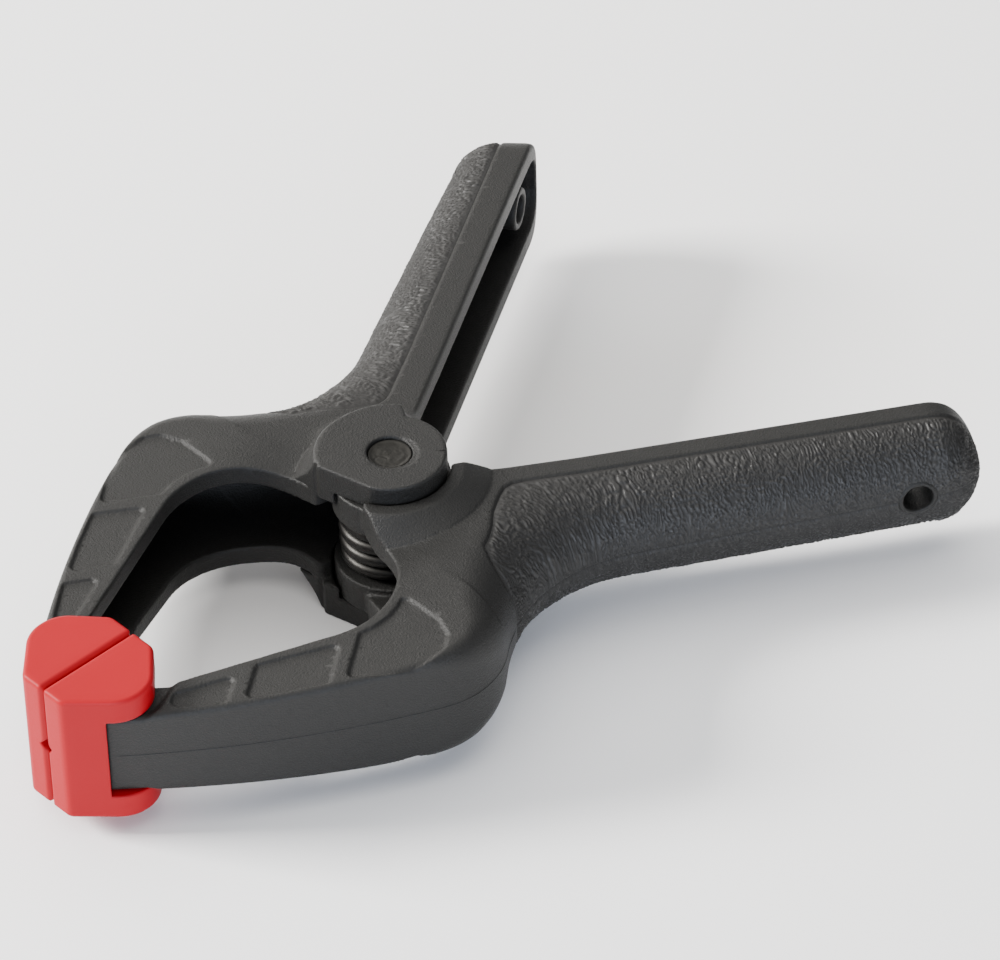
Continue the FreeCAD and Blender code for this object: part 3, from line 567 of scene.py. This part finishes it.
def with_ring(body, half, reach, z):
    """The body with the raised ring of the inner lever, flat on top with a sloping skirt."""
    foot = half[:, :, None] + 0.15
    plateau = EAR_LOW + RING_RISE
    cone = plateau - (plateau - foot) * np.clip((reach - RING_RADIUS) / RING_SLOPE, 0, 1)
    ring = np.maximum((z - cone) * 0.92, 9.0 - z)
    return np.minimum(body, np.maximum(ring, reach - RING_FOOT))


def with_upper_ear(field, grid, edge):
    """The lever with the ear that lies over the ring, its shoulder, and the hole for the pin."""
    x, y, z = grid.x[:, :, None], grid.y[:, :, None], grid.z
    reach = np.hypot(grid.x, grid.y)[:, :, None]
    right, left = [np.array(corner) for corner in EAR_CORNERS]
    outline = arc(np.zeros(2), EAR_RADIUS, -151.9, 29.9)
    outline += [right]
    outline += arc(np.zeros(2), SHOULDER_RADIUS, 38.2, 151.0)
    outline += [left]
    ear = polygon_field(outline, grid.x, grid.y)[:, :, None]
    shoulder = meet(ear, np.maximum(SHOULDER_LOW - z, z - EAR_TOP), 0.4)
    cove = join(field, shoulder, COVE_RADIUS)
    slope = SKIRT_RISE * ear + SKIRT_FALL * (z - SKIRT_TOP)
    skirt = np.maximum(slope, np.maximum(SHOULDER_LOW - z, z - SKIRT_TOP))
    skirt = join(np.minimum(field, skirt), shoulder, 2.2)
    rearward = ease((x + 5.5) / 7.0)
    field = cove * rearward + skirt * (1 - rearward)
    field = meet(field, np.minimum(-edge, ear), 0.35)
    field = meet(field, -np.maximum(reach - EAR_CLEARANCE, z - EAR_LOW), 0.2)
    field = meet(field, -(reach - PIN_BORE["outer"]), 0.25)
    burr = np.hypot(x - BURR[0], y - BURR[1]) - BURR_RADIUS
    return meet(field, -np.maximum(burr, EAR_TOP - BURR_DEPTH - z), 0.12)


def with_lower_ear(field, reach, z):
    """The lever with the ear that lies under the outer one, and the hole for the pin."""
    disc = meet(reach - INNER_EAR_RADIUS, np.maximum(6.0 - z, z - HUB_HALF), 0.3)
    field = join(field, disc, 0.8)
    field = meet(field, -np.maximum(reach - INNER_EAR_POCKET, HUB_HALF - z), 0.25)
    return meet(field, -(reach - PIN_BORE["inner"]), 0.2)


def lever_field(grid, side, recess):
    """A whole lever, with the grip sunk by the recess, or smooth and with no hang hole."""
    x, y, z = grid.x[:, :, None], grid.y[:, :, None], grid.z
    drawn = as_drawn(grid, side)
    depth_in, at, edge = [field[:, :, None] for field in plan_fields(drawn, side)]
    depth = np.interp(at, ROUND_RUN, ROUND_DEPTH).astype(np.float32)
    height = np.interp(at, ROUND_RUN, ROUND_HEIGHT).astype(np.float32)
    half = half_height(drawn)
    top = half.copy()
    for panel in PANELS:
        past = rounded_field(panel, PANEL_ROUND, grid.x, grid.y)
        top -= PANEL_DEPTH * ease((PANEL_WALL / 2 - past) / PANEL_WALL)
    body = rounded_body(depth_in, top[:, :, None], z, depth, height)
    along, across = along_handle(x, y), across_handle(x, y)
    reach = np.hypot(x, y)
    axis = np.hypot(along - HANG_HOLE, z)
    if recess:
        covered = grip_cover(grid.x, grid.y)[:, :, None]
        body = body + recess * ease(covered / 0.36) * ease((axis - 3.3) / 0.6)
    if side == "inner":
        body = with_ring(body, half, reach, z)
    body = meet(body, -edge, 0.4 + 0.5 * ease((along - 12.0) / 10.0))
    hollow = rounded_body(depth_in - WALL, half[:, :, None] - FLANGE, z,
                          np.maximum(depth - WALL, HOLLOW_ROUND[0]),
                          np.clip(height - FLANGE, *HOLLOW_ROUND))
    hollow = meet(hollow, -(edge + 5.0), 0.5)
    hollow = meet(hollow, -(x - HOLLOW_FROM_X), 1.0)
    field = meet(body, -hollow, 0.4)
    if side == "outer":
        field = with_upper_ear(field, grid, edge)
    else:
        field = with_lower_ear(field, reach, z)
    from_stud = np.hypot(x - PAD_PIVOT[0], y - PAD_PIVOT[1])
    socket = np.maximum(from_stud - STUD_BORE, STUD_BORE_FROM - z)
    field = meet(field, -socket, 0.2)
    tube_ends = np.maximum(RIM[side] + 1.0 - across, 1.0 - depth_in)
    field = join(field, meet(axis - TUBE_RADIUS, tube_ends, 0.4), 0.7)
    if recess:
        field = meet(field, -(axis - HOLE_RADIUS), 0.5)
    return field


# The step of the levers' grid, and how far their flat parts may be drawn with larger faces.
LEVER_STEP = 0.36
LEVER_ADAPTIVITY = 0.003
# The grip's mesh has steps along and round the handle. It lies in a shallow recess, and past
# GRIP_TURN along the handle its sections fan out round the end. The taper is half the height
# of the handle at places along the back.
GRIP_STEP = (0.16, 0.26)
GRIP_WIDTH = 17.5
GRIP_TAPER = ((84, 12.1), (100, 11.6), (113, HANDLE_HALF))
GRIP_RECESS = 0.45
GRIP_TURN = 92.0
GRAIN_HEIGHT = 0.42
RAY_LONGEST = 18.0


def section_line(run):
    """The section of the skin at a place along the back: depth in from the back, and height."""
    depth = np.interp(run, ROUND_RUN, ROUND_DEPTH)
    height = np.interp(run, ROUND_RUN, ROUND_HEIGHT)
    angles = np.linspace(0, math.pi / 2, 40)
    flat = np.interp(run, *zip(*GRIP_TAPER))
    q = np.concatenate([[0.0], depth * (1 - np.cos(angles)), [depth + 9.0]])
    z = np.concatenate([[0.0], flat - height + height * np.sin(angles), [flat]])
    return q, z


def at_run(run):
    """The point of the back curve at a distance along it."""
    return np.array([np.interp(run, BACK_RUN, BACK[:, 0]), np.interp(run, BACK_RUN, BACK[:, 1])])


def inward(run):
    """The direction square to the back curve, into the lever."""
    ahead = at_run(min(run + 0.7, BACK_RUN[-1])) - at_run(run - 0.7)
    ahead /= np.linalg.norm(ahead)
    return np.array([ahead[1], -ahead[0]])


# ---------------------------------------------------------------- grain

def scattered(u, v, salt):
    """Two numbers from 0 to 1 for each whole place, always the same ones."""
    h = (u * 374761393 + v * 668265263 + salt * 1274126177) & 0xFFFFFFFF
    h = ((h ^ (h >> 13)) * 1103515245) & 0xFFFFFFFF
    h = h ^ (h >> 16)
    return (h & 0xFFFF) / 65535.0, ((h >> 8) & 0xFFFF) / 65535.0


def cells(u, v, salt):
    """How far each place is from the border between the nearest two scattered points."""
    iu = np.floor(u).astype(np.int64)
    iv = np.floor(v).astype(np.int64)
    best = np.full(u.shape, FAR)
    second = np.full(u.shape, FAR)
    for du in (-1, 0, 1):
        for dv in (-1, 0, 1):
            a, b = scattered(iu + du, iv + dv, salt)
            distance = np.hypot(u - iu - du - a, v - iv - dv - b)
            second = np.minimum(second, np.maximum(best, distance))
            best = np.minimum(best, distance)
    return second - best


def waves(u, v, salt):
    """Smooth noise from -1 to 1."""
    iu = np.floor(u).astype(np.int64)
    iv = np.floor(v).astype(np.int64)
    fu = ease(u - iu)
    fv = ease(v - iv)
    total = 0
    for du in (0, 1):
        for dv in (0, 1):
            a, _ = scattered(iu + du, iv + dv, salt)
            total = total + a * np.abs(1 - du - fu) * np.abs(1 - dv - fv)
    return 2 * total - 1


def wave_at(u, v, salt):
    """The same noise at one place."""
    return float(waves(np.array(u), np.array(v), salt))


def leather(run, round_):
    """Height, 0 to 1, of a leather-like grain whose wrinkles run across the handle."""
    swing = np.radians(48) * ease((112 - run) / 24)
    swing = swing + 0.45 * waves(run / 7, round_ / 7, 3)
    u = run * np.cos(swing) - round_ * np.sin(swing)
    v = run * np.sin(swing) + round_ * np.cos(swing)
    u = u + 0.42 * waves(run / 1.9, round_ / 1.5, 5) + 0.18 * waves(run / 0.8, round_ / 0.7, 6)
    v = v + 0.6 * waves(run / 2.1, round_ / 2.3, 7)
    coarse = ease(cells(u / 0.86, v / 2.1, 11) / 0.5)
    fine = ease(cells(u / 0.6 + 40, v / 1.0, 12) / 0.5)
    level = 0.5 + 0.5 * waves(run / 1.7, round_ / 1.9, 9)
    return np.clip(0.78 * coarse + 0.22 * fine, 0, 1) * (0.68 + 0.32 * level)


# ---------------------------------------------------------------- grips and parting lines

def side_section(run, spread):
    """Points over the handle's back from one edge of the grip to the other, square to the back."""
    q, z = section_line(run)
    length = np.concatenate([[0], np.cumsum(np.hypot(np.diff(q), np.diff(z)))])
    foot, normal = at_run(run), inward(run)
    depths = np.arange(0.05, 20.0, 0.05)
    ray = foot + normal * depths[:, None]
    covered = grip_cover(ray[:, 0], ray[:, 1]) > 0
    reach = np.interp(depths[np.argmin(covered)], q, length)
    place = np.abs(spread) * reach
    depth = np.interp(place, length, q)
    return np.stack([foot[0] + normal[0] * depth, foot[1] + normal[1] * depth,
                     np.sign(spread) * np.interp(place, length, z)], axis=1)


def end_section(tilt, spread, whole, corner, step):
    """The same round the handle's end, found along rays from a point inside it."""
    turn = spread * math.pi / 2
    origin = np.append(along_across(GRIP_TURN, GRIP_LINE + 1.2 * math.sin(tilt) ** 6), 0.0)
    forward = np.append(along_across(1.0, 0.0), 0.0)
    back = np.append(along_across(0.0, 1.0), 0.0)
    rays = (math.sin(tilt) * forward + math.cos(tilt) * (np.cos(turn)[:, None] * back
                                                         + np.sin(turn)[:, None] * [0, 0, 1]))
    reach = np.full(len(spread), RAY_LONGEST)
    for _ in range(60):
        value = sample(whole, corner, step, origin + rays * reach[:, None])
        reach -= np.clip(value, -0.5, 1.0) * 0.8
    return origin + rays * np.clip(reach, 3.0, RAY_LONGEST)[:, None]


def grip_sections(whole, corner, step):
    """Points of the grip in rows round the handle, with how far along and round they lie."""
    rows = int(2 * GRIP_WIDTH / GRIP_STEP[1]) | 1
    spread = np.linspace(-1, 1, rows)
    low = run_at_x(GRIP_FROM_X)
    high = BACK_RUN[-END_COUNT - 1] - (HANDLE_END - GRIP_TURN)
    sections = [side_section(run, spread) for run in np.arange(low, high, GRIP_STEP[0])]
    tilts = np.radians(np.arange(-2.0, 89.0, 0.8))
    sections += [end_section(tilt, spread, whole, corner, step) for tilt in tilts]
    points = np.array(sections)
    middle = points[:, rows // 2]
    run = low + np.concatenate([[0], np.cumsum(np.linalg.norm(np.diff(middle, axis=0), axis=1))])
    pieces = np.linalg.norm(np.diff(points, axis=1), axis=2)
    around = np.concatenate([np.zeros((len(points), 1)), np.cumsum(pieces, axis=1)], axis=1)
    around -= around[:, rows // 2][:, None]
    return points, np.repeat(run, rows), around.reshape(-1)


def grip(side, field, grid):
    """The grained skin of a handle, laid on the lever's own surface."""
    whole = grid.whole(field)
    corner = grid.corner()
    points, run, around = grip_sections(whole, corner, grid.step)
    count, rows = points.shape[:2]
    flat = points.reshape(-1, 3)
    for _ in range(3):
        out = gradient(whole, corner, grid.step, flat)
        flat = flat - out * np.clip(sample(whole, corner, grid.step, flat), -1, 1)[:, None]
    out = gradient(whole, corner, grid.step, flat)
    astray = np.abs(sample(whole, corner, grid.step, flat)) > 0.3
    edge = grip_cover(flat[:, 0], flat[:, 1])
    along = along_handle(flat[:, 0], flat[:, 1])
    beyond_tube = np.abs(flat[:, 2]) > 6
    hole = np.hypot(along - HANG_HOLE, flat[:, 2]) + 9.0 * beyond_tube
    by_hole = ease((hole - 3.45) / 0.5)
    relief = leather(run, around) * ease((edge - 0.55) / 0.8) * by_hole
    groove = np.exp(-(around / 0.22) ** 2) * by_hole
    relief = relief * (1 - groove)
    base = -0.6 + 0.26 * ease((edge - 0.1) / 0.3) - 0.08 * groove
    flat = flat + out * (base + GRAIN_HEIGHT * relief)[:, None]
    index = np.arange(len(flat)).reshape(count, rows)
    quads = np.stack([index[:-1, :-1], index[:-1, 1:], index[1:, 1:], index[1:, :-1]], axis=-1)
    quads = quads.reshape(-1, 4)
    quads = quads[(hole[quads].min(axis=1) > 3.1) & ~astray[quads].any(axis=1)]
    mesh = bpy.data.meshes.new("grip_" + side)
    mesh.from_pydata(placed(flat, side).tolist(), [], quads.tolist())
    mesh.update()
    mark = mesh.attributes.new("relief", "FLOAT", "POINT")
    mark.data.foreach_set("value", relief.astype(np.float32))
    face_outwards(mesh, turned(out, side), mesh.polygons[len(mesh.polygons) // 3])
    mesh.shade_smooth()
    return link("grip_" + side, mesh)


LINE_HEIGHT = 0.07
LINE_SUNK = -0.55


def parting_line(side):
    """The thin raised line that the mould leaves along the middle of the back."""
    end = run_at_x(GRIP_FROM_X) + 0.6
    runs = np.arange(0.5, end, 0.5)
    points, faces = [], []
    for run in runs:
        foot, normal = at_run(run), inward(run)
        crest = LINE_HEIGHT + 0.02 * wave_at(run / 2.3, 0.5, 21)
        fade = min(1.0, run / 2, (end - run) / 1.5)
        crest = crest * fade - 0.3 * (1 - fade)
        profile = ((-0.32, LINE_SUNK), (-0.1, crest), (0.1, crest), (0.32, LINE_SUNK))
        for offset, level in profile:
            points.append([*(foot - normal * level), offset])
    for i in range(len(runs) - 1):
        for j in range(3):
            faces.append((4 * i + j, 4 * i + j + 1, 4 * i + j + 5, 4 * i + j + 4))
    mesh = bpy.data.meshes.new("parting_line_" + side)
    mesh.from_pydata(placed(np.array(points), side).tolist(), [], faces)
    mesh.update()
    mesh.shade_smooth()
    return link("parting_line_" + side, mesh)


levers, grips, lines = {}, {}, {}
for side in SIDES:
    grid = Grid((-76.5, -12.5), (90.5, 66.0), 18.2, LEVER_STEP)
    sunk = lever_field(grid, side, GRIP_RECESS)
    levers[side] = skin_mesh("moulding_" + side, sunk, grid, side, LEVER_ADAPTIVITY)
    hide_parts("lever_" + side)
    grips[side] = grip(side, lever_field(grid, side, 0.0), grid)
    lines[side] = parting_line(side)
    for piece in (levers[side], grips[side], lines[side]):
        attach(piece, side + "_side")


# ---------------------------------------------------------------- jaw pads

PAD_STEP = 0.25
PAD_HALF = 13.5
SLOT_HALF = 8.5
SLOT_FLOOR = 5.2
SLOT_FRONT = -74.9
PAD_BEVEL = 0.75
PAD_FRONT_X = -80.4
PAD_REAR_X = -59.8
NOTCH = 1.5
STUD_RADIUS = 2.2
STUD_FROM = 6.1
STUD_TO = 11.0
SLANT = math.sqrt(0.5)


def pad(side):
    """A jaw pad with its slot for the head of the arm, and the studs that it swivels on."""
    grid = Grid((-82.0, -1.2), (-58.2, 14.4), 14.6, PAD_STEP)
    x, y, z = grid.x[:, :, None], grid.y[:, :, None], grid.z
    outline = polygon_field(PAD_PLAN, grid.x, grid.y)[:, :, None]
    block = meet(outline, z - PAD_HALF, 0.8)
    front = (x + y - PAD_FRONT_X - PAD_BEVEL) * -SLANT
    rear = (x - y - PAD_REAR_X + PAD_BEVEL) * SLANT
    upper = (z - y - PAD_HALF + PAD_BEVEL) * SLANT
    for bevel in (front, rear, upper):
        block = meet(block, bevel, 0.2)
    notch = (z + y - NOTCH) * SLANT
    block = meet(block, -notch, 0.15)
    slot = meet(meet(z - SLOT_HALF, SLOT_FLOOR - y, 0.01), SLOT_FRONT - x, 0.01)
    block = meet(block, -slot, 0.4)
    from_stud = np.hypot(x - PAD_PIVOT[0], y - PAD_PIVOT[1])
    stud = np.maximum(np.maximum(from_stud - STUD_RADIUS, STUD_FROM - z), z - STUD_TO)
    block = join(block, stud, 0.1)
    return skin_mesh("pad_" + side, block, grid, side, 0.0)


pads = {}
for side in SIDES:
    piece = pad(side)
    pads[side] = piece
    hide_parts("jaw_pad_" + side)
    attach(piece, side + "_pad")


# ---------------------------------------------------------------- pin and spring

def new_piece(name, points, faces):
    """A piece from points in millimetres about the pivot."""
    mesh = bpy.data.meshes.new(name)
    mesh.from_pydata((np.asarray(points) * MM + np.array(PIVOT)).tolist(), [], faces)
    mesh.validate()
    mesh.update()
    mesh.shade_smooth()
    return link(name, mesh)


def ring_faces(rings, segments):
    """Quads between rings of points, each ring closed on itself."""
    faces = []
    for i in range(rings - 1):
        for j in range(segments):
            k = (j + 1) % segments
            a, b = i * segments, (i + 1) * segments
            faces.append((a + j, a + k, b + k, b + j))
    return faces


PIN_RADIUS = 3.95
PIN_HALF = 16.75
PIN_ROUND = 0.3
PIN_DISH = 0.2
PIN_LIP = 0.15
PIN_RINGS = 34
PIN_SEGMENTS = 96
GOUGE = (-2.2, -0.2)


def pin_mark(radius, angle):
    """How deep the turning marks and the tool's gouge go into the end of the pin."""
    x, y = radius * math.cos(angle), radius * math.sin(angle)
    swirl = 0.02 * math.sin(5.0 * radius + angle) * (radius / PIN_RADIUS)
    dx, dy = x - GOUGE[0], y - GOUGE[1]
    bow = math.exp(-((math.hypot(dx, dy) - 1.2) / 0.22) ** 2)
    gouge = 0.13 * bow * max(0.0, math.cos(math.atan2(dy, dx) - 1.0))
    rough = wave_at(x * 0.9, y * 0.9, 31) + 0.5 * wave_at(x * 2.2, y * 2.2, 33)
    return swirl + gouge + 0.05 * rough


def pin():
    """The pin: a turned rod whose ends carry the marks of its making."""
    flat = PIN_RADIUS - PIN_ROUND
    turns = np.radians([25, 50, 75, 90])
    radii = np.concatenate([np.linspace(0.05, flat, PIN_RINGS), flat + PIN_ROUND * np.sin(turns)])
    drop = np.concatenate([np.zeros(PIN_RINGS), PIN_ROUND - PIN_ROUND * np.cos(turns)])
    rings = list(zip(radii, drop))
    points = []
    for end, order in ((1, rings), (-1, reversed(rings))):
        for radius, fall in order:
            fade = min(1.0, max(0.0, (flat - radius) / 0.5))
            for j in range(PIN_SEGMENTS):
                angle = 2 * math.pi * j / PIN_SEGMENTS
                height = PIN_HALF - fall - PIN_DISH - fade * pin_mark(radius, angle)
                height += PIN_LIP * (1 - fade)
                points.append((radius * math.cos(angle), radius * math.sin(angle), end * height))
    faces = ring_faces(2 * len(rings), PIN_SEGMENTS)
    faces.append(tuple(range(PIN_SEGMENTS)))
    faces.append(tuple(reversed(range(len(points) - PIN_SEGMENTS, len(points)))))
    return new_piece("turned_pin", points, faces)


WIRE_RADIUS = 1.25
WIRE_SEGMENTS = 20
# How far back from the cut end of the wire a ring lies, and what share of the radius it has.
WIRE_TIP = [(0.0, 0.75), (0.12, 0.93), (0.35, 1.0)]
COIL_RADIUS = 8.3
COIL_HALF = 4.54
COIL_TURN = 1190.508
COIL_POINTS = 300
LEG_ANGLE = 34.746
LEG_LENGTH = 42.076
LEG_POINTS = 30


def wire_ring(centre, direction, radius):
    """Points round the wire, square to the way that it runs."""
    side_on = np.array([0, 0, 1]) - direction * direction[2]
    side_on /= np.linalg.norm(side_on)
    other = np.cross(direction, side_on)
    angles = [2 * math.pi * j / WIRE_SEGMENTS for j in range(WIRE_SEGMENTS)]
    return [centre + radius * (math.cos(a) * side_on + math.sin(a) * other) for a in angles]


def spring():
    """The torsion spring: a close coil with one straight leg in each handle."""
    start = 90 + LEG_ANGLE
    angles = np.radians(np.linspace(start, start + COIL_TURN, COIL_POINTS))
    rise = np.linspace(-COIL_HALF, COIL_HALF, COIL_POINTS)
    coil = [np.array([COIL_RADIUS * math.cos(a), COIL_RADIUS * math.sin(a), h])
            for a, h in zip(angles, rise)]
    leg = np.array([math.cos(math.radians(LEG_ANGLE)), math.sin(math.radians(LEG_ANGLE)), 0])
    mirrored = leg * np.array([1, -1, 1])
    path = [coil[0] + leg * LEG_LENGTH * t for t in np.linspace(1, 0, LEG_POINTS)[:-1]]
    path += coil
    path += [coil[-1] + mirrored * LEG_LENGTH * t for t in np.linspace(0, 1, LEG_POINTS)[1:]]
    path = np.array(path)
    ahead = np.gradient(path, axis=0)
    ahead /= np.linalg.norm(ahead, axis=1)[:, None]
    points = []
    for back, share in WIRE_TIP:
        points += wire_ring(path[0] + ahead[0] * back, ahead[0], WIRE_RADIUS * share)
    for centre, direction in zip(path[1:-1], ahead[1:-1]):
        points += wire_ring(centre, direction, WIRE_RADIUS)
    for back, share in reversed(WIRE_TIP):
        points += wire_ring(path[-1] - ahead[-1] * back, ahead[-1], WIRE_RADIUS * share)
    faces = ring_faces(len(points) // WIRE_SEGMENTS, WIRE_SEGMENTS)
    faces.append(tuple(reversed(range(WIRE_SEGMENTS))))
    faces.append(tuple(range(len(points) - WIRE_SEGMENTS, len(points))))
    return new_piece("spring_wire", points, [tuple(reversed(face)) for face in faces])


turned_pin = pin()
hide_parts("pivot_pin")
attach(turned_pin, "outer_side")
wire = spring()
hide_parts("torsion_spring")
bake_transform(wire)


# ---------------------------------------------------------------- materials

SPECULAR = 0.28


def new_material(name, specular=SPECULAR):
    """A material with its nodes, its links and its shader."""
    material = bpy.data.materials.new(name)
    material.use_nodes = True
    nodes = material.node_tree.nodes
    shader = nodes["Principled BSDF"]
    shader.inputs["Specular IOR Level"].default_value = specular
    return material, nodes, material.node_tree.links, shader


def node(nodes, kind, **settings):
    """A new node with its inputs or properties set."""
    item = nodes.new(kind)
    for key, value in settings.items():
        if key in item.inputs:
            item.inputs[key].default_value = value
        else:
            setattr(item, key, value)
    return item


def moulded(name, dark, light, roughness, grain, depth, specular=SPECULAR):
    """Moulded plastic: slow colour drift, and the fine pits of a spark-eroded mould."""
    material, nodes, links, shader = new_material(name, specular)
    place = node(nodes, "ShaderNodeTexCoord")
    drift = node(nodes, "ShaderNodeTexNoise", Scale=38.0, Detail=3.0)
    ramp = node(nodes, "ShaderNodeMix", data_type="RGBA")
    ramp.inputs["A"].default_value = (*dark, 1)
    ramp.inputs["B"].default_value = (*light, 1)
    pits = node(nodes, "ShaderNodeTexNoise", Scale=grain, Detail=4.0, Roughness=0.6)
    gloss = node(nodes, "ShaderNodeMapRange")
    gloss.inputs["To Min"].default_value = roughness - 0.06
    gloss.inputs["To Max"].default_value = roughness + 0.08
    bump = node(nodes, "ShaderNodeBump", Strength=1.0, Distance=depth)
    links.new(place.outputs["Object"], drift.inputs["Vector"])
    links.new(place.outputs["Object"], pits.inputs["Vector"])
    links.new(drift.outputs["Fac"], ramp.inputs["Factor"])
    links.new(ramp.outputs["Result"], shader.inputs["Base Color"])
    links.new(pits.outputs["Fac"], gloss.inputs["Value"])
    links.new(gloss.outputs["Result"], shader.inputs["Roughness"])
    links.new(pits.outputs["Fac"], bump.inputs["Height"])
    links.new(bump.outputs["Normal"], shader.inputs["Normal"])
    return material


def grained():
    """The same plastic on the grip: dull grooves, and ridges polished by the hand."""
    # Its colours are a shade lighter than the smooth charcoal plastic: painted sheen of the light on
    # the grain.
    material = moulded("grained_plastic_painted_sheen", dark=(0.0095, 0.0092, 0.0088),
                       light=(0.013, 0.0126, 0.012), roughness=0.46, grain=3000.0,
                       depth=0.00003, specular=0.37)
    nodes, links = material.node_tree.nodes, material.node_tree.links
    shader = nodes["Principled BSDF"]
    relief = node(nodes, "ShaderNodeAttribute", attribute_name="relief")
    gloss = node(nodes, "ShaderNodeMapRange")
    gloss.inputs["To Min"].default_value = 0.72
    gloss.inputs["To Max"].default_value = 0.36
    links.new(relief.outputs["Fac"], gloss.inputs["Value"])
    links.new(gloss.outputs["Result"], shader.inputs["Roughness"])
    return material


def steel(name, dark, light, roughness, streaks, depth):
    """Worked steel: fine scratches stretched one way, and cloudy darker patches."""
    material, nodes, links, shader = new_material(name)
    shader.inputs["Metallic"].default_value = 1.0
    place = node(nodes, "ShaderNodeTexCoord")
    stretch = node(nodes, "ShaderNodeMapping")
    stretch.inputs["Scale"].default_value = streaks
    scratch = node(nodes, "ShaderNodeTexNoise", Scale=1.0, Detail=5.0, Roughness=0.7)
    cloud = node(nodes, "ShaderNodeTexNoise", Scale=420.0, Detail=3.0)
    colour = node(nodes, "ShaderNodeMix", data_type="RGBA")
    colour.inputs["A"].default_value = (*dark, 1)
    colour.inputs["B"].default_value = (*light, 1)
    gloss = node(nodes, "ShaderNodeMapRange")
    gloss.inputs["To Min"].default_value = roughness - 0.1
    gloss.inputs["To Max"].default_value = roughness + 0.12
    bump = node(nodes, "ShaderNodeBump", Strength=1.0, Distance=depth)
    links.new(place.outputs["Object"], stretch.inputs["Vector"])
    links.new(stretch.outputs["Vector"], scratch.inputs["Vector"])
    links.new(place.outputs["Object"], cloud.inputs["Vector"])
    links.new(cloud.outputs["Fac"], colour.inputs["Factor"])
    links.new(colour.outputs["Result"], shader.inputs["Base Color"])
    links.new(scratch.outputs["Fac"], gloss.inputs["Value"])
    links.new(gloss.outputs["Result"], shader.inputs["Roughness"])
    links.new(scratch.outputs["Fac"], bump.inputs["Height"])
    links.new(bump.outputs["Normal"], shader.inputs["Normal"])
    return material


charcoal = moulded("charcoal_plastic", dark=(0.0066, 0.0065, 0.006),
                   light=(0.0094, 0.0092, 0.0084), roughness=0.50, grain=2600.0, depth=0.00016)
red = moulded("red_plastic", dark=(0.27, 0.0006, 0.005), light=(0.31, 0.001, 0.007),
              roughness=0.46, grain=1500.0, depth=0.00002, specular=0.16)
for piece in [*levers.values(), *lines.values()]:
    piece.data.materials.append(charcoal)
for piece in grips.values():
    piece.data.materials.append(grained())
for piece in pads.values():
    piece.data.materials.append(red)
blackened = steel("blackened_steel", dark=(0.022, 0.0215, 0.02), light=(0.036, 0.035, 0.032),
                  roughness=0.5, streaks=(900, 900, 60), depth=0.00003)
turned_pin.data.materials.append(blackened)
# The spring wire is dark like black-oxide steel, and its colours are darkened further as painted
# shade for the dim hollow of the levers that it lies in.
wire_steel_painted_shade = steel("drawn_steel_painted_shade", dark=(0.016, 0.0155, 0.015), light=(0.034, 0.033, 0.031),
                   roughness=0.42, streaks=(700, 700, 2500), depth=0.00002)
wire.data.materials.append(wire_steel_painted_shade)


# ---------------------------------------------------------------- floor, light and camera

FLOOR_HALF = 3


def floor():
    """A plain pale floor, wide enough to fill the picture."""
    mesh = bpy.data.meshes.new("floor")
    corners = [(-FLOOR_HALF, -FLOOR_HALF, 0), (FLOOR_HALF, -FLOOR_HALF, 0),
               (FLOOR_HALF, FLOOR_HALF, 0), (-FLOOR_HALF, FLOOR_HALF, 0)]
    mesh.from_pydata(corners, [], [(0, 1, 2, 3)])
    item = link("floor", mesh)
    material, _, _, shader = new_material("paper_floor")
    shader.inputs["Base Color"].default_value = (0.9, 0.9, 0.9, 1)
    shader.inputs["Roughness"].default_value = 0.9
    item.data.materials.append(material)


def area_light(name, place, target, size, power, colour):
    """A soft box at a place, turned towards a target."""
    lamp = bpy.data.lights.new(name, "AREA")
    lamp.shape = "RECTANGLE"
    lamp.size, lamp.size_y = size
    lamp.energy = power
    lamp.color = colour
    item = link(name, lamp)
    item.location = place
    direction = Vector(target) - Vector(place)
    item.rotation_euler = direction.to_track_quat("-Z", "Y").to_euler()


# Where the camera is from the pivot, and which ways the picture's right and up point.
CAMERA_PLACE = Vector((-566.3, -647.1, 755.2))
PHOTO_RIGHT = Vector((0.724134, -0.689287, -0.022658))
PHOTO_UP = Vector((0.464157, 0.462797, 0.755233))


def photo_camera():
    """A long lens at the photograph's angle."""
    lens = bpy.data.cameras.new("camera")
    lens.sensor_width = 36.0
    lens.lens = 234.0
    lens.clip_start = 0.05
    lens.clip_end = 20.0
    lens.dof.use_dof = False
    item = link("camera", lens)
    turn = Matrix((PHOTO_RIGHT, PHOTO_UP, PHOTO_RIGHT.cross(PHOTO_UP))).transposed()
    item.matrix_world = Matrix.Translation(PIVOT + CAMERA_PLACE * MM) @ turn.to_4x4()
    bpy.context.scene.camera = item


floor()
photo_camera()
area_light("back", place=(0.42, 1.25, 0.52), target=(0, 0, 0.02), size=(1.0, 0.5), power=8.0,
           colour=(1.0, 0.96, 0.91))
area_light("sky", place=(0.0, 0.15, 1.1), target=(0, 0, 0), size=(1.5, 1.5), power=16.0,
           colour=(1.0, 0.97, 0.92))
area_light("key", place=(-0.95, 1.1, 0.8), target=(0, 0, 0.01), size=(0.5, 0.5), power=88.0,
           colour=(1.0, 0.98, 0.95))
area_light("front", place=(-1.0, -1.05, 0.42), target=(0, 0, 0.01), size=(0.8, 0.6), power=24.0,
           colour=(0.76, 0.84, 1.0))
world = bpy.data.worlds.new("studio")
world.use_nodes = True
background = world.node_tree.nodes["Background"]
background.inputs["Color"].default_value = (0.96, 0.97, 1.0, 1)
background.inputs["Strength"].default_value = 0.5
bpy.context.scene.world = world
